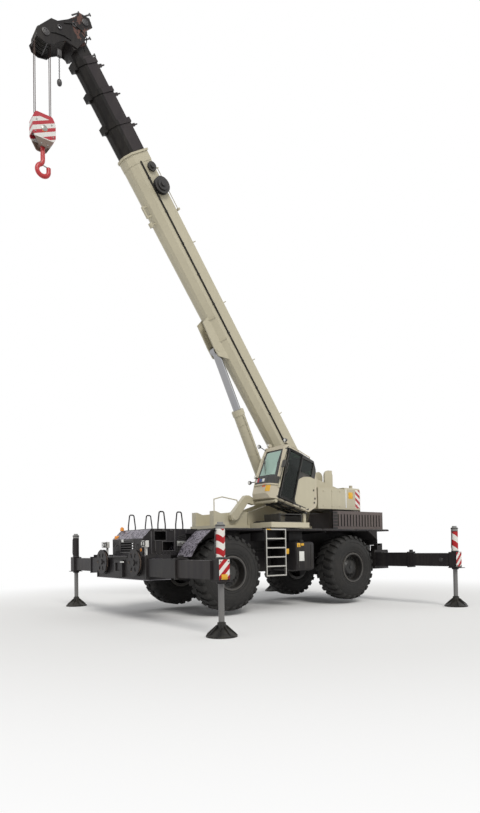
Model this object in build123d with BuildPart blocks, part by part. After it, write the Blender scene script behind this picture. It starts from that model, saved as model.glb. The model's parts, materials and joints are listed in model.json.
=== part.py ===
import os
from math import atan2, cos, degrees, hypot, pi, radians, sin

from build123d import *

# Four-wheel rough-terrain crane standing on its outriggers.  Millimetres, +X to the front,
# +Y to the left (the cab's side), +Z up, origin on the ground under the slewing axis.

# ---- wheels and axles
TYRE_DIAMETER = 1870
TYRE_WIDTH = 680
RIM_RADIUS = 400
HUB_RADIUS = 240
WHEEL_LIFT = 120
LUGS = 20
LUG_HEIGHT = 45
BEAD_INSET = 40
FLANGE = 25
FRONT_AXLE_X = 2090
WHEELBASE = 4340
WHEEL_Y = 1200
KINGPIN_Y = 780
KINGPIN_RADIUS = 45
SPINDLE_RADIUS = 90
RUNNING_GAP = 0.05
AXLE_TUBE_RADIUS = 125

# ---- chassis
FRAME_HALF_WIDTH = 420
FRAME_TOP = 2110
FRAME_LOW = 1000
FRAME_ARCH_Z = 1360
FRAME_WALL = 20
DECK_THICKNESS = 40
DECK_HALF_WIDTH = 1490
DECK_REAR_REACH = 540
DECK_FRONT_X = 2650
TURRET_RADIUS = 780
RING_RADIUS = 760
RING_BORE = 600
RING_HEIGHT = 75
SLEW_GAP = 5
RING_FIT = 0.05
SWING_RADIUS = 2110
HOOD_HALF_WIDTH = 820
HOOD_FRONT_X = 4170
HOOD_WALL = 8
ENGINE_HOOD_TOP = 2690
RADIATOR_DEPTH = 470
RADIATOR_HALF_WIDTH = 800
ENGINE_HOOD_INSET = 70
TANK_INSET = 10
TANK_SIZE = (700, 780)
TANK_X, TANK_Z = -400, 1420
ENGINE_SIZE = (1150, 740, 850)
STEP_HOLES = [(3480, 1740), (3700, 1990)]
LOUVRE_PITCH = 128
LOUVRE = (62, 16, 350)
ENGINE_X = -2720

# ---- outriggers
FRONT_BOX_X = 4040
REAR_BOX_SETBACK = 1450
BOX_HALF_LENGTH = 1365
BOX_WIDTH = 620
BOX_LOW = 970
BOX_HIGH = 1520
BEAM_PITCH = 300
BEAM_Z = 1260
OUTER_BEAM = (270, 400)
INNER_BEAM = (230, 360)
BEAM_WALL = 12
BEAM_SLIDE_GAP = 10
PAD_FIT = 0.3
OUTER_BEAM_LENGTH = 2600
OUTER_BEAM_END_Y = 2550
COLLAR_LENGTH = 50
MOUTH_RIB = 40
FRONT_PIPE_Z = 1500
FLOAT_PLATE = 14
COLLAR_RIM = 25
INNER_BEAM_ROOT_Y = 1800
TOW_Z, TOW_REACH, TOW_THICK, TOW_BORE = 1060, 85, 60, 27
JACK_Y = 3950
JACK_INSET = 50
JACK_HOUSING = 240
JACK_BARREL_RADIUS = 88
JACK_TOP = 2130
JACK_ROD_RADIUS = 58
JACK_ROD_TOP = 1300
FLOAT_RADIUS = 300
FLOAT_HEIGHT = 270

# ---- boom
BOOM_ANGLE = 55
FOOT_X, FOOT_Z = -1670, 3500
FOOT_PIN_RADIUS = 70
SECTION_WALL = 12
# section: length, root along the boom, head along the boom, depth, width
SECTIONS = [
    ("boom_section_2", 600, 10540, 650, 450),
    ("boom_section_3", 900, 11270, 596, 404),
    ("boom_section_4", 1200, 11930, 542, 358),
    ("boom_section_5", 1500, 12380, 488, 312),
]
BOOM_REAR, BASE_HEAD, BASE_DEPTH, BASE_WIDTH = 350, 9780, 704, 496
ROD_S = (8250, 9300)
SECTION_FIT = 0.3
HEAD_SHEAVE_S, HEAD_SHEAVE_N = 12550, -750
TOP_SHEAVE_S, TOP_SHEAVE_N = 12600, 420
SHEAVE_RADIUS = 190
SHEAVE_WIDTH = 50
SHAFT_RADIUS = 40
HEAD_PLATE_Y = 235
HEAD_PLATE = 25
JIB_PIN_S, JIB_PIN_N = 12590, (-330, 90)
# head plates: distance from the sheave shaft's s, distance above the boom's centre line
HEAD_OUTLINE = [
    (HEAD_SHEAVE_S + ahead, n)
    for ahead, n in (
        (-430, -150),
        (-240, -330),
        (-230, -560),
        (-270, -700),
        (-190, -900),
        (-60, -990),
        (70, -960),
        (150, -790),
        (240, -420),
        (170, -290),
        (170, 10),
        (200, 220),
        (260, 410),
        (120, 600),
        (-70, 560),
        (-120, 300),
        (-300, 180),
    )
]
JIB_PIN_RADIUS = 30

# ---- luffing cylinder
EYE_S, EYE_N = 4740, -490
LUFF_FOOT_X, LUFF_FOOT_Z = -630, 2620
LUFF_BARREL_RADIUS = 160
LUFF_ROD_RADIUS = 110
LUFF_BARREL_LENGTH = 3230
LUFF_EYE_RADIUS = 135
LUFF_EYE_WIDTH = 200
LUFF_PIN_RADIUS = 60
EYE_BRACKET_Y = 136
LUFF_CLEVIS_Y = 186
LUFF_NECK = 270

# ---- superstructure
TABLE_PLATE = 85
TABLE_FRONT_X = 1950
TABLE_REAR_X = -1500
TABLE_HALF_WIDTH = 620
SIDE_PLATE_Y = 345
SIDE_PLATE = 40
FRONT_BOX_Y = 530
CHEEK_X, CHEEK_Y, CHEEK_HALF = -2620, 220, 175
CHEEK_LOW, CHEEK_TOP = 3430, 4050
RAIL_Y = 480
COUNTERWEIGHT_LOW = 2750
COUNTERWEIGHT_TOP = 3400
COUNTERWEIGHT_HALF_WIDTH = 1250

# ---- cab
CAB_TILT = 16
CAB_HINGE_X, CAB_HINGE_Z = -460, 2620
CAB_INNER_Y, CAB_OUTER_Y = 700, 1580
CAB_WALL = 40
DOOR_GAP = 8
CAB_FRONT, CAB_HEIGHT = 1340, 1500
CORNER_X, CORNER_Y = 1150, 1200
GLASS_DEPTH, GLASS = 14, 6
DOOR_X = (610, 1140)
CAB_POST_Y = (835, 1385)
CAB_POST = 60
CAB_PIN_RADIUS = 30
ARM_PIVOT_X, ARM_PIVOT_Z = 1400, 2480
ARM_TUBE_X, ARM_TUBE_Z = 660, 2888
ARM_TUBE_RADIUS = 45
ARM_INNER_Y, ARM_OUTER_Y = 540, 690
ARM_PIN_RADIUS = 50

# ---- hook
BLOCK_TOP = 11550
HOOK_LOW = 10140
ROPE_RADIUS = 10
ROPE_FIT = 0.3

AXLE_Z = TYRE_DIAMETER / 2 + WHEEL_LIFT
REAR_AXLE_X = FRONT_AXLE_X - WHEELBASE
REAR_BOX_X = REAR_AXLE_X - REAR_BOX_SETBACK
DECK_TOP = FRAME_TOP + DECK_THICKNESS
RING_TOP = FRAME_TOP + RING_HEIGHT
TABLE_LOW = RING_TOP + SLEW_GAP
TABLE_TOP = TABLE_LOW + TABLE_PLATE

ALONG = Vector(cos(radians(BOOM_ANGLE)), 0, sin(radians(BOOM_ANGLE)))
ACROSS = Vector(-sin(radians(BOOM_ANGLE)), 0, cos(radians(BOOM_ANGLE)))
FOOT = Vector(FOOT_X, 0, FOOT_Z)


def boom_point(s, n=0, y=0):
    """World point at distance s along the boom from its foot pin and n above its centre line."""
    return FOOT + ALONG * s + ACROSS * n + Vector(0, y, 0)


def boom_section_plane(s, n=0):
    """Plane square to the boom: local x is world Y, local y is the boom's upward normal."""
    return Plane(origin=boom_point(s, n), x_dir=(0, 1, 0), z_dir=ALONG)


def boom_side_plane(y=0):
    """Plane of the boom's side: local x runs along the boom, extrusion goes towards -Y."""
    return Plane(origin=boom_point(0, 0, y), x_dir=ALONG, z_dir=(0, -1, 0))


def side_plane(y=0):
    """Vertical plane seen from the right: local x, y are world X, Z, extrusion goes to -Y."""
    return Plane.XZ.offset(-y)


EYE = boom_point(EYE_S, EYE_N)
LUFF_FOOT = Vector(LUFF_FOOT_X, 0, LUFF_FOOT_Z)
LUFF_DIR = (EYE - LUFF_FOOT).normalized()
LUFF_LENGTH = (EYE - LUFF_FOOT).length

CAB_ALONG = Vector(cos(radians(CAB_TILT)), 0, sin(radians(CAB_TILT)))
CAB_UP = Vector(-sin(radians(CAB_TILT)), 0, cos(radians(CAB_TILT)))


def cab_side_plane(y):
    """Cab's own side plane: local x to the cab's front, local y to its roof, extrusion to -Y."""
    return Plane(origin=(CAB_HINGE_X, y, CAB_HINGE_Z), x_dir=CAB_ALONG, z_dir=(0, -1, 0))


def finish(part, name):
    """Label one finished piece and write it to its own file."""
    part.label = name
    export_step(part, f"parts/{name}.step")


# ================================================================ wheels, knuckles, axles
def knuckle(axle_x, side, name):
    """Steering knuckle: kingpin barrel, spindle and steering arm."""
    pin = (axle_x, side * KINGPIN_Y, AXLE_Z)
    with BuildPart() as made:
        with BuildSketch(Plane.XY.offset(AXLE_Z - 200)):
            with Locations((axle_x, side * KINGPIN_Y)):
                Circle(95)
        extrude(amount=400)
        with BuildSketch(Plane(origin=pin, x_dir=(1, 0, 0), z_dir=(0, side, 0))):
            Circle(150)
        extrude(amount=110)
        with BuildSketch(Plane(origin=pin, x_dir=(1, 0, 0), z_dir=(0, side, 0))):
            Circle(SPINDLE_RADIUS)
        extrude(amount=WHEEL_Y - KINGPIN_Y + 90)
        with BuildSketch(Plane.XY.offset(AXLE_Z - 170)):
            with BuildLine():
                Polyline(
                    (axle_x - 60, side * KINGPIN_Y),
                    (axle_x + 60, side * KINGPIN_Y),
                    (axle_x - 330, side * (KINGPIN_Y - 100)),
                    (axle_x - 380, side * (KINGPIN_Y - 60)),
                    close=True,
                )
            make_face()
        extrude(amount=50)
        with BuildSketch(Plane.XY.offset(AXLE_Z - 200)):
            with Locations((axle_x, side * KINGPIN_Y)):
                Circle(KINGPIN_RADIUS + RUNNING_GAP)
        extrude(amount=400, mode=Mode.SUBTRACT)
    finish(made.part, name)


BEAD = TYRE_WIDTH / 2 - BEAD_INSET
SEAT_RADIUS = RIM_RADIUS - 15


def rim(axle_x, side, name):
    """Wheel rim: barrel with flanges, dished disc and planetary hub."""
    with BuildPart() as made:
        with BuildSketch(Plane(origin=(axle_x, side * WHEEL_Y, AXLE_Z), x_dir=(1, 0, 0), z_dir=(0, 0, 1))):
            with BuildLine():
                Polyline(
                    (SPINDLE_RADIUS + RUNNING_GAP, -side * 150),
                    (HUB_RADIUS - 40, -side * 150),
                    (SEAT_RADIUS - 40, side * 50),
                    (SEAT_RADIUS - 40, -side * (BEAD + FLANGE)),
                    (RIM_RADIUS + FLANGE, -side * (BEAD + FLANGE)),
                    (RIM_RADIUS + FLANGE, -side * BEAD),
                    (SEAT_RADIUS, -side * BEAD),
                    (SEAT_RADIUS, side * BEAD),
                    (RIM_RADIUS + FLANGE, side * BEAD),
                    (RIM_RADIUS + FLANGE, side * (BEAD + FLANGE)),
                    (SEAT_RADIUS - 15, side * (BEAD + FLANGE)),
                    (SEAT_RADIUS - 30, side * 110),
                    (HUB_RADIUS, side * 90),
                    (HUB_RADIUS, side * 170),
                    (HUB_RADIUS - 60, side * 220),
                    (0, side * 220),
                    (0, side * 100),
                    (SPINDLE_RADIUS + RUNNING_GAP, side * 100),
                    close=True,
                )
            make_face()
        revolve(axis=Axis((axle_x, side * WHEEL_Y, AXLE_Z), (0, 1, 0)))
    finish(made.part, name)


def facet_band(low, high, low_radius, high_radius):
    """Frustum of as many flat facets as the tyre has, between two levels of its axle."""
    with BuildPart() as band:
        with BuildSketch(Plane.XY.offset(low)):
            RegularPolygon(low_radius, 2 * LUGS, major_radius=False)
        extrude(amount=high - low, taper=degrees(atan2(low_radius - high_radius, high - low)))
    return band.part


def half_tyre():
    """Half of a tyre about its mid-plane, axle along Z, with one row of shoulder lugs."""
    half = TYRE_WIDTH / 2
    tread = TYRE_DIAMETER / 2 - LUG_HEIGHT
    shoulder = RIM_RADIUS + 390
    widest = RIM_RADIUS + 240
    pitch = 2 * pi * tread / (2 * LUGS)
    with BuildPart() as made:
        add(facet_band(0, half - 110, tread, tread))
        add(facet_band(half - 110, half - 30, tread, shoulder))
        add(facet_band(half - 30, half, shoulder, widest))
        add(facet_band(BEAD, half, RIM_RADIUS + FLANGE + 5, widest - 20), mode=Mode.SUBTRACT)
        add(facet_band(0, half, SEAT_RADIUS + RUNNING_GAP, SEAT_RADIUS + RUNNING_GAP), mode=Mode.SUBTRACT)
        for lug in range(LUGS):
            turn = 360 / LUGS * (lug + 0.25)
            face = Plane.XZ.rotated((0, 0, turn)).offset(-pitch * 0.48)
            with BuildSketch(face):
                with BuildLine():
                    Polyline(
                        (tread - 15, 12),
                        (TYRE_DIAMETER / 2, 12),
                        (TYRE_DIAMETER / 2, half - 135),
                        (TYRE_DIAMETER / 2 - 40, half - 30),
                        (shoulder - 20, half - 5),
                        (shoulder - 40, half - 60),
                        close=True,
                    )
                make_face()
            extrude(amount=pitch * 0.96)
    return made.part


def tyre_round():
    """Whole tyre, axle along Z: two halves with their lugs staggered by half a pitch."""
    half = half_tyre()
    other = half.mirror(Plane.XY).rotate(Axis.Z, 180 / LUGS)
    return half + other


TYRE = tyre_round()


def tyre(axle_x, side, name):
    """Earthmover tyre seated on its rim."""
    finish(Pos(axle_x, side * WHEEL_Y, AXLE_Z) * Rot(90, 0, 0) * TYRE, name)


def axle(axle_x, name):
    """Drive axle: centre housing, tubes, forked ends with kingpins and pads under the frame."""
    fork_y = KINGPIN_Y - 150
    with BuildPart() as made:
        with Locations(Pos(axle_x, 0, AXLE_Z)):
            Cylinder(AXLE_TUBE_RADIUS, 2 * fork_y, rotation=(90, 0, 0))
        with BuildSketch(Plane(origin=(axle_x, 0, AXLE_Z), x_dir=(1, 0, 0), z_dir=(0, 0, 1))):
            with BuildLine():
                Polyline((0, -330), (130, -330), (255, -130), (255, 130), (130, 330), (0, 330), close=True)
            make_face()
        revolve(axis=Axis((axle_x, 0, AXLE_Z), (0, 1, 0)))
        for side in (-1, 1):
            with Locations((axle_x, side * (fork_y + 20), AXLE_Z)):
                Box(200, 50, 2 * 280)
            for level in (-1, 1):
                with Locations((axle_x, side * (fork_y + 115), AXLE_Z + level * 245)):
                    Box(190, 240, 70)
            with Locations((axle_x, side * KINGPIN_Y, AXLE_Z)):
                Cylinder(KINGPIN_RADIUS, 2 * 215)
            low, high = AXLE_Z, FRAME_ARCH_Z
            with Locations((axle_x, side * 340, (low + high) / 2)):
                Box(220, 120, high - low)
    finish(made.part, name)


for axle_name, axle_x in (("front", FRONT_AXLE_X), ("rear", REAR_AXLE_X)):
    axle(axle_x, f"{axle_name}_axle")
    for side_name, side in (("left", 1), ("right", -1)):
        knuckle(axle_x, side, f"knuckle_{axle_name}_{side_name}")
        rim(axle_x, side, f"rim_{axle_name}_{side_name}")
        tyre(axle_x, side, f"tyre_{axle_name}_{side_name}")

# ================================================================ carrier
FRAME_REAR = REAR_BOX_X + BOX_WIDTH / 2
FRAME_FRONT = FRONT_BOX_X - BOX_WIDTH / 2
DECK_REAR_X = FRAME_REAR - DECK_REAR_REACH
ENGINE_HOOD_REAR_X = DECK_REAR_X + 200
ENGINE_HOOD_HALF_WIDTH = DECK_HALF_WIDTH - ENGINE_HOOD_INSET
ARCH_HALF = 430
ARCH_RAMP = 170


def frame_outline(inset):
    """Side outline of the main frame, arched over both axles, moved in by a wall."""
    low, high = FRAME_LOW + inset, FRAME_TOP - inset
    arch = FRAME_ARCH_Z + inset
    points = [(FRAME_REAR + inset, high), (FRAME_FRONT - inset, high), (FRAME_FRONT - inset, low)]
    for centre in (FRONT_AXLE_X, REAR_AXLE_X):
        points += [
            (centre + ARCH_HALF + ARCH_RAMP + inset, low),
            (centre + ARCH_HALF + inset, arch),
            (centre - ARCH_HALF - inset, arch),
            (centre - ARCH_HALF - ARCH_RAMP - inset, low),
        ]
    points += [(FRAME_REAR + inset, low)]
    return points


with BuildPart() as chassis:
    with BuildSketch(Plane.XZ):
        with BuildLine():
            Polyline(*frame_outline(0), close=True)
        make_face()
    extrude(amount=FRAME_HALF_WIDTH, both=True)
    with BuildSketch(Plane.XZ):
        with BuildLine():
            Polyline(*frame_outline(FRAME_WALL), close=True)
        make_face()
    extrude(amount=FRAME_HALF_WIDTH - FRAME_WALL, both=True, mode=Mode.SUBTRACT)
    # engine bay, open at the top
    with Locations((ENGINE_X, 0, FRAME_TOP)):
        Box(ENGINE_SIZE[0] + 40, 2 * (FRAME_HALF_WIDTH - FRAME_WALL), 100, mode=Mode.SUBTRACT)
    # engine bearers across the bay
    engine_low = ENGINE_HOOD_TOP - 60 - ENGINE_SIZE[2]
    for bearer_x in (ENGINE_X - 400, ENGINE_X + 400):
        with Locations((bearer_x, 0, engine_low - 25)):
            Box(90, 2 * FRAME_HALF_WIDTH, 50)
    # turret under the slewing ring, and the ring's fixed race
    with BuildSketch(Plane.XY.offset(FRAME_TOP - 260)):
        Circle(TURRET_RADIUS)
        Circle(TURRET_RADIUS - 40, mode=Mode.SUBTRACT)
    extrude(amount=260)
    with BuildSketch(Plane.XY.offset(FRAME_TOP - 30)):
        Circle(TURRET_RADIUS)
        Circle(RING_BORE, mode=Mode.SUBTRACT)
    extrude(amount=30)
    with BuildSketch(Plane.XY.offset(FRAME_TOP)):
        Circle(RING_RADIUS)
        Circle(RING_BORE, mode=Mode.SUBTRACT)
    extrude(amount=RING_HEIGHT)
    # outriggers of the deck: brackets from the frame to the deck's edge
    for bracket_x in (-3320, -1250, 1000, 2600):
        with BuildSketch(Plane.YZ.offset(bracket_x)):
            with BuildLine():
                Polyline(
                    (FRAME_HALF_WIDTH - 10, FRAME_TOP),
                    (DECK_HALF_WIDTH - 60, FRAME_TOP),
                    (DECK_HALF_WIDTH - 60, FRAME_TOP - 40),
                    (FRAME_HALF_WIDTH - 10, FRAME_TOP - 80),
                    close=True,
                )
            make_face()
            mirror(about=Plane.YZ)
        extrude(amount=30)
finish(chassis.part, "chassis_frame")

with BuildPart() as engine:
    with Locations((ENGINE_X, 0, ENGINE_HOOD_TOP - 60 - ENGINE_SIZE[2] / 2)):
        Box(*ENGINE_SIZE)
finish(engine.part, "engine")

with BuildPart() as deck:
    with BuildSketch(Plane.XY.offset(FRAME_TOP)):
        with Locations(((DECK_REAR_X + DECK_FRONT_X) / 2, 0)):
            Rectangle(DECK_FRONT_X - DECK_REAR_X, 2 * DECK_HALF_WIDTH)
        Circle(RING_RADIUS + 30, mode=Mode.SUBTRACT)
        with Locations((ENGINE_X, 0)):
            Rectangle(ENGINE_SIZE[0] + 60, ENGINE_SIZE[1] + 60, mode=Mode.SUBTRACT)
    extrude(amount=DECK_THICKNESS)
    # sloping mudguards ahead of the front wheels and behind the rear ones
    for side in (-1, 1):
        middle = side * (HOOD_HALF_WIDTH + 15 + DECK_HALF_WIDTH) / 2
        width = DECK_HALF_WIDTH - HOOD_HALF_WIDTH - 15
        with BuildSketch(side_plane(middle)):
            with BuildLine():
                Polyline(
                    (DECK_FRONT_X, DECK_TOP),
                    (DECK_FRONT_X, DECK_TOP - 30),
                    (FRONT_AXLE_X + 960, 1780),
                    (FRONT_AXLE_X + 1150, 1480),
                    (FRONT_AXLE_X + 1165, 1480),
                    (FRONT_AXLE_X + 980, 1785),
                    close=True,
                )
            make_face()
        extrude(amount=width / 2, both=True)
        # sloping mudguard behind the rear wheel with its side cheek
        with BuildSketch(side_plane(middle)):
            with BuildLine():
                Polyline(
                    (REAR_AXLE_X - 740, FRAME_TOP + 5),
                    (REAR_AXLE_X - 725, FRAME_TOP + 5),
                    (REAR_AXLE_X - 1120, 1850),
                    (REAR_AXLE_X - 1120, 1690),
                    (REAR_AXLE_X - 1135, 1690),
                    (REAR_AXLE_X - 1135, 1858),
                    close=True,
                )
            make_face()
        extrude(amount=width / 2, both=True)
        with BuildSketch(side_plane(side * (DECK_HALF_WIDTH - 15))):
            with BuildLine():
                Polyline((REAR_AXLE_X - 730, FRAME_TOP + 5), (REAR_AXLE_X - 1125, 1854), (REAR_AXLE_X - 1125, FRAME_TOP + 5), close=True)
            make_face()
        extrude(amount=-side * 15)
finish(deck.part, "deck")

with BuildPart() as front_hood:
    with BuildSketch(Plane.XZ):
        with BuildLine():
            Polyline(
                (DECK_FRONT_X, DECK_TOP + 10),
                (3930, DECK_TOP + 10),
                (HOOD_FRONT_X, 1930),
                (HOOD_FRONT_X, BOX_HIGH),
                (3260, BOX_HIGH),
                (3130, 1850),
                (2980, 2040),
                (DECK_FRONT_X, 2040),
                close=True,
            )
        make_face()
    extrude(amount=HOOD_HALF_WIDTH, both=True)
    with BuildSketch(Plane.XZ):
        with BuildLine():
            Polyline(
                (DECK_FRONT_X, DECK_TOP + 10 - HOOD_WALL),
                (3930, DECK_TOP + 10 - HOOD_WALL),
                (HOOD_FRONT_X - HOOD_WALL, 1930),
                (HOOD_FRONT_X - HOOD_WALL, BOX_HIGH),
                (3260 + HOOD_WALL, BOX_HIGH),
                (3130 + HOOD_WALL, 1850),
                (2980 + HOOD_WALL, 2040 + HOOD_WALL),
                (DECK_FRONT_X, 2040 + HOOD_WALL),
                close=True,
            )
        make_face()
    extrude(amount=HOOD_HALF_WIDTH - HOOD_WALL, both=True, mode=Mode.SUBTRACT)
    # step holes in both sides, each with its tread plate
    for step_x, step_z in STEP_HOLES:
        with Locations((step_x, 0, step_z)):
            Box(300, 2 * HOOD_HALF_WIDTH, 200, mode=Mode.SUBTRACT)
        for side in (-1, 1):
            with Locations((step_x, side * (HOOD_HALF_WIDTH - 75), step_z - 104)):
                Box(316, 150, HOOD_WALL)
    # intake slots across the front face
    for slot in range(4):
        with Locations((HOOD_FRONT_X, 0, BOX_HIGH + 120 + 60 * slot)):
            Box(60, 2 * 330, 28, mode=Mode.SUBTRACT)
    # the main frame passes in under the hood
    with Locations((3000, 0, 1800)):
        Box(1440, 2 * FRAME_HALF_WIDTH + 4, 2 * (FRAME_TOP - 1800), mode=Mode.SUBTRACT)
finish(front_hood.part, "front_hood")

with BuildPart() as engine_hood:
    with BuildSketch(Plane.XY.offset(DECK_TOP)):
        with Locations(((ENGINE_HOOD_REAR_X - 1060) / 2, 0)):
            Rectangle(-1060 - ENGINE_HOOD_REAR_X, 2 * ENGINE_HOOD_HALF_WIDTH)
        Circle(SWING_RADIUS, mode=Mode.SUBTRACT)
    extrude(amount=ENGINE_HOOD_TOP - DECK_TOP)
    with BuildSketch(Plane.XY.offset(DECK_TOP)):
        with Locations(((ENGINE_HOOD_REAR_X - 1060) / 2, 0)):
            Rectangle(-1060 - ENGINE_HOOD_REAR_X - 2 * HOOD_WALL, 2 * (ENGINE_HOOD_HALF_WIDTH - HOOD_WALL))
        Circle(SWING_RADIUS + HOOD_WALL, mode=Mode.SUBTRACT)
    extrude(amount=ENGINE_HOOD_TOP - DECK_TOP - HOOD_WALL, mode=Mode.SUBTRACT)
    # upright louvres along both sides and level slats across the tail
    louvre_z = (DECK_TOP + ENGINE_HOOD_TOP) / 2
    for louvre in range(15):
        louvre_x = ENGINE_HOOD_REAR_X + 120 + LOUVRE_PITCH * louvre
        for side in (-1, 1):
            with Locations((louvre_x, side * (ENGINE_HOOD_HALF_WIDTH + LOUVRE[1] / 2 - 2), louvre_z)):
                Box(*LOUVRE)
    for slat in range(6):
        with Locations((ENGINE_HOOD_REAR_X - 8, 0, DECK_TOP + 90 + 72 * slat)):
            Box(20, 2 * ENGINE_HOOD_HALF_WIDTH - 240, 34)
    # radiator housing under the deck's tail, standing on the rear outrigger box
    with Locations((FRAME_REAR - RADIATOR_DEPTH / 2, 0, (BOX_HIGH + FRAME_TOP) / 2)):
        Box(RADIATOR_DEPTH, 2 * RADIATOR_HALF_WIDTH, FRAME_TOP - BOX_HIGH)
finish(engine_hood.part, "engine_hood")


def outrigger_box(centre_x, name, tow):
    """Cross box with two side-by-side beam tubes, each open at one end, and a towing eye."""
    beam_low = BEAM_Z - OUTER_BEAM[1] / 2
    with BuildPart() as made:
        with Locations((centre_x, 0, (BOX_LOW + BOX_HIGH) / 2)):
            Box(BOX_WIDTH, 2 * BOX_HALF_LENGTH, BOX_HIGH - BOX_LOW)
        for side in (-1, 1):
            with Locations((centre_x + side * BEAM_PITCH / 2, side * 15, BEAM_Z)):
                Box(
                    OUTER_BEAM[0] + 2 * BEAM_SLIDE_GAP,
                    2 * BOX_HALF_LENGTH,
                    OUTER_BEAM[1] + 2 * BEAM_SLIDE_GAP,
                    mode=Mode.SUBTRACT,
                )
            with Locations((centre_x + side * BEAM_PITCH / 2, side * (BOX_HALF_LENGTH - 100), beam_low - BEAM_SLIDE_GAP / 2 - PAD_FIT / 2)):
                Box(OUTER_BEAM[0] - 40, 200, BEAM_SLIDE_GAP - PAD_FIT)
        # frames round the ends and, at the rear, the lamp brackets on top
        face_x = centre_x + (-1 if tow else 1) * BOX_WIDTH / 2
        for side in (-1, 1):
            with Locations((centre_x, side * (BOX_HALF_LENGTH - MOUTH_RIB / 2), BOX_HIGH)):
                Box(BOX_WIDTH, MOUTH_RIB, 2 * 25)
            with Locations((face_x, side * (BOX_HALF_LENGTH - MOUTH_RIB / 2), (BOX_LOW + BOX_HIGH) / 2)):
                Box(2 * 20, MOUTH_RIB, BOX_HIGH - BOX_LOW)
            if tow:
                with Locations((centre_x - 40, side * 1150, BOX_HIGH + 80)):
                    Box(240, 260, 160)
                with Locations((centre_x - 120, side * 1150, BOX_HIGH + 185)):
                    Box(80, 260, 70)
        if not tow:
            # centre plate with its pocket, and the pipe across the front
            with Locations((face_x + 30, 0, BOX_LOW + 250)):
                Box(60, 440, 400)
            with Locations((face_x + 60, 0, BOX_LOW + 290)):
                Box(60, 300, 200, mode=Mode.SUBTRACT)
            for post_y in (-430, 430):
                with Locations((face_x + 35, post_y, FRONT_PIPE_Z)):
                    Box(70, 40, 60)
            with Locations(Pos(face_x + 70, 0, FRONT_PIPE_Z)):
                Cylinder(22, 2 * 560, rotation=(90, 0, 0))
        if tow:
            tow_x = centre_x - BOX_WIDTH / 2
            with BuildSketch(Plane.XY.offset(TOW_Z - TOW_THICK / 2)):
                with BuildLine():
                    Polyline((tow_x, 110), (tow_x - 130, 65), (tow_x - 150, 0), (tow_x - 130, -65), (tow_x, -110), close=True)
                make_face()
                with Locations((tow_x - TOW_REACH, 0)):
                    Circle(TOW_BORE, mode=Mode.SUBTRACT)
            extrude(amount=TOW_THICK)
    finish(made.part, name)


def outer_beam(centre_x, side, name):
    """First outrigger beam: box tube with a collar at its mouth."""
    beam_x = centre_x + side * BEAM_PITCH / 2
    middle = side * (OUTER_BEAM_END_Y - OUTER_BEAM_LENGTH / 2)
    with BuildPart() as made:
        with Locations((beam_x, middle, BEAM_Z)):
            Box(OUTER_BEAM[0], OUTER_BEAM_LENGTH, OUTER_BEAM[1])
        with Locations((beam_x, side * (OUTER_BEAM_END_Y + COLLAR_LENGTH / 2), BEAM_Z)):
            Box(OUTER_BEAM[0] + 2 * COLLAR_RIM, COLLAR_LENGTH, OUTER_BEAM[1] + 2 * COLLAR_RIM)
        with Locations((beam_x, side * (OUTER_BEAM_END_Y + COLLAR_LENGTH / 2), BEAM_Z + OUTER_BEAM[1] / 2 + COLLAR_RIM)):
            Box(110, COLLAR_LENGTH, 2 * 55)
        with Locations((beam_x, middle + side * COLLAR_LENGTH / 2, BEAM_Z)):
            Box(
                OUTER_BEAM[0] - 2 * BEAM_WALL,
                OUTER_BEAM_LENGTH + COLLAR_LENGTH,
                OUTER_BEAM[1] - 2 * BEAM_WALL,
                mode=Mode.SUBTRACT,
            )
        pad = (OUTER_BEAM[1] - INNER_BEAM[1]) / 2 - BEAM_WALL - PAD_FIT
        pad_z = BEAM_Z - OUTER_BEAM[1] / 2 + BEAM_WALL + pad / 2
        with Locations((beam_x, side * (OUTER_BEAM_END_Y - 50), pad_z)):
            Box(INNER_BEAM[0] - 40, 150, pad)
    finish(made.part, name)


def inner_beam(centre_x, side, name):
    """Second outrigger beam with the jack's housing and upright barrel at its end."""
    beam_x = centre_x + side * BEAM_PITCH / 2
    jack_x = beam_x - side * JACK_INSET
    tube_end = JACK_Y - JACK_HOUSING / 2
    with BuildPart() as made:
        with Locations((beam_x, side * (INNER_BEAM_ROOT_Y + tube_end) / 2, BEAM_Z)):
            Box(INNER_BEAM[0], tube_end - INNER_BEAM_ROOT_Y, INNER_BEAM[1])
        with Locations((beam_x, side * ((INNER_BEAM_ROOT_Y + tube_end) / 2 - 6), BEAM_Z)):
            Box(
                INNER_BEAM[0] - 2 * BEAM_WALL,
                tube_end - INNER_BEAM_ROOT_Y - 12,
                INNER_BEAM[1] - 2 * BEAM_WALL,
                mode=Mode.SUBTRACT,
            )
        with Locations((jack_x, side * JACK_Y, BEAM_Z)):
            Box(JACK_HOUSING, JACK_HOUSING, OUTER_BEAM[1] + 20)
        # plate under the housing that carries the stowed float, and the barrel's cap
        with Locations((jack_x, side * (JACK_Y + 40), BEAM_Z - OUTER_BEAM[1] / 2 - 10 - FLOAT_PLATE / 2)):
            Box(JACK_HOUSING + 60, JACK_HOUSING + 80, FLOAT_PLATE)
        with BuildSketch(Plane.XY.offset(JACK_TOP)):
            with Locations((jack_x, side * JACK_Y)):
                Circle(JACK_BARREL_RADIUS - 28)
        extrude(amount=40)
        with BuildSketch(Plane.XY.offset(FRAME_LOW)):
            with Locations((jack_x, side * JACK_Y)):
                Circle(JACK_BARREL_RADIUS)
        extrude(amount=JACK_TOP - FRAME_LOW)
        with BuildSketch(Plane.XY.offset(FRAME_LOW)):
            with Locations((jack_x, side * JACK_Y)):
                Circle(JACK_ROD_RADIUS + RUNNING_GAP)
        extrude(amount=JACK_TOP - FRAME_LOW - 60, mode=Mode.SUBTRACT)
    finish(made.part, name)


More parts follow.
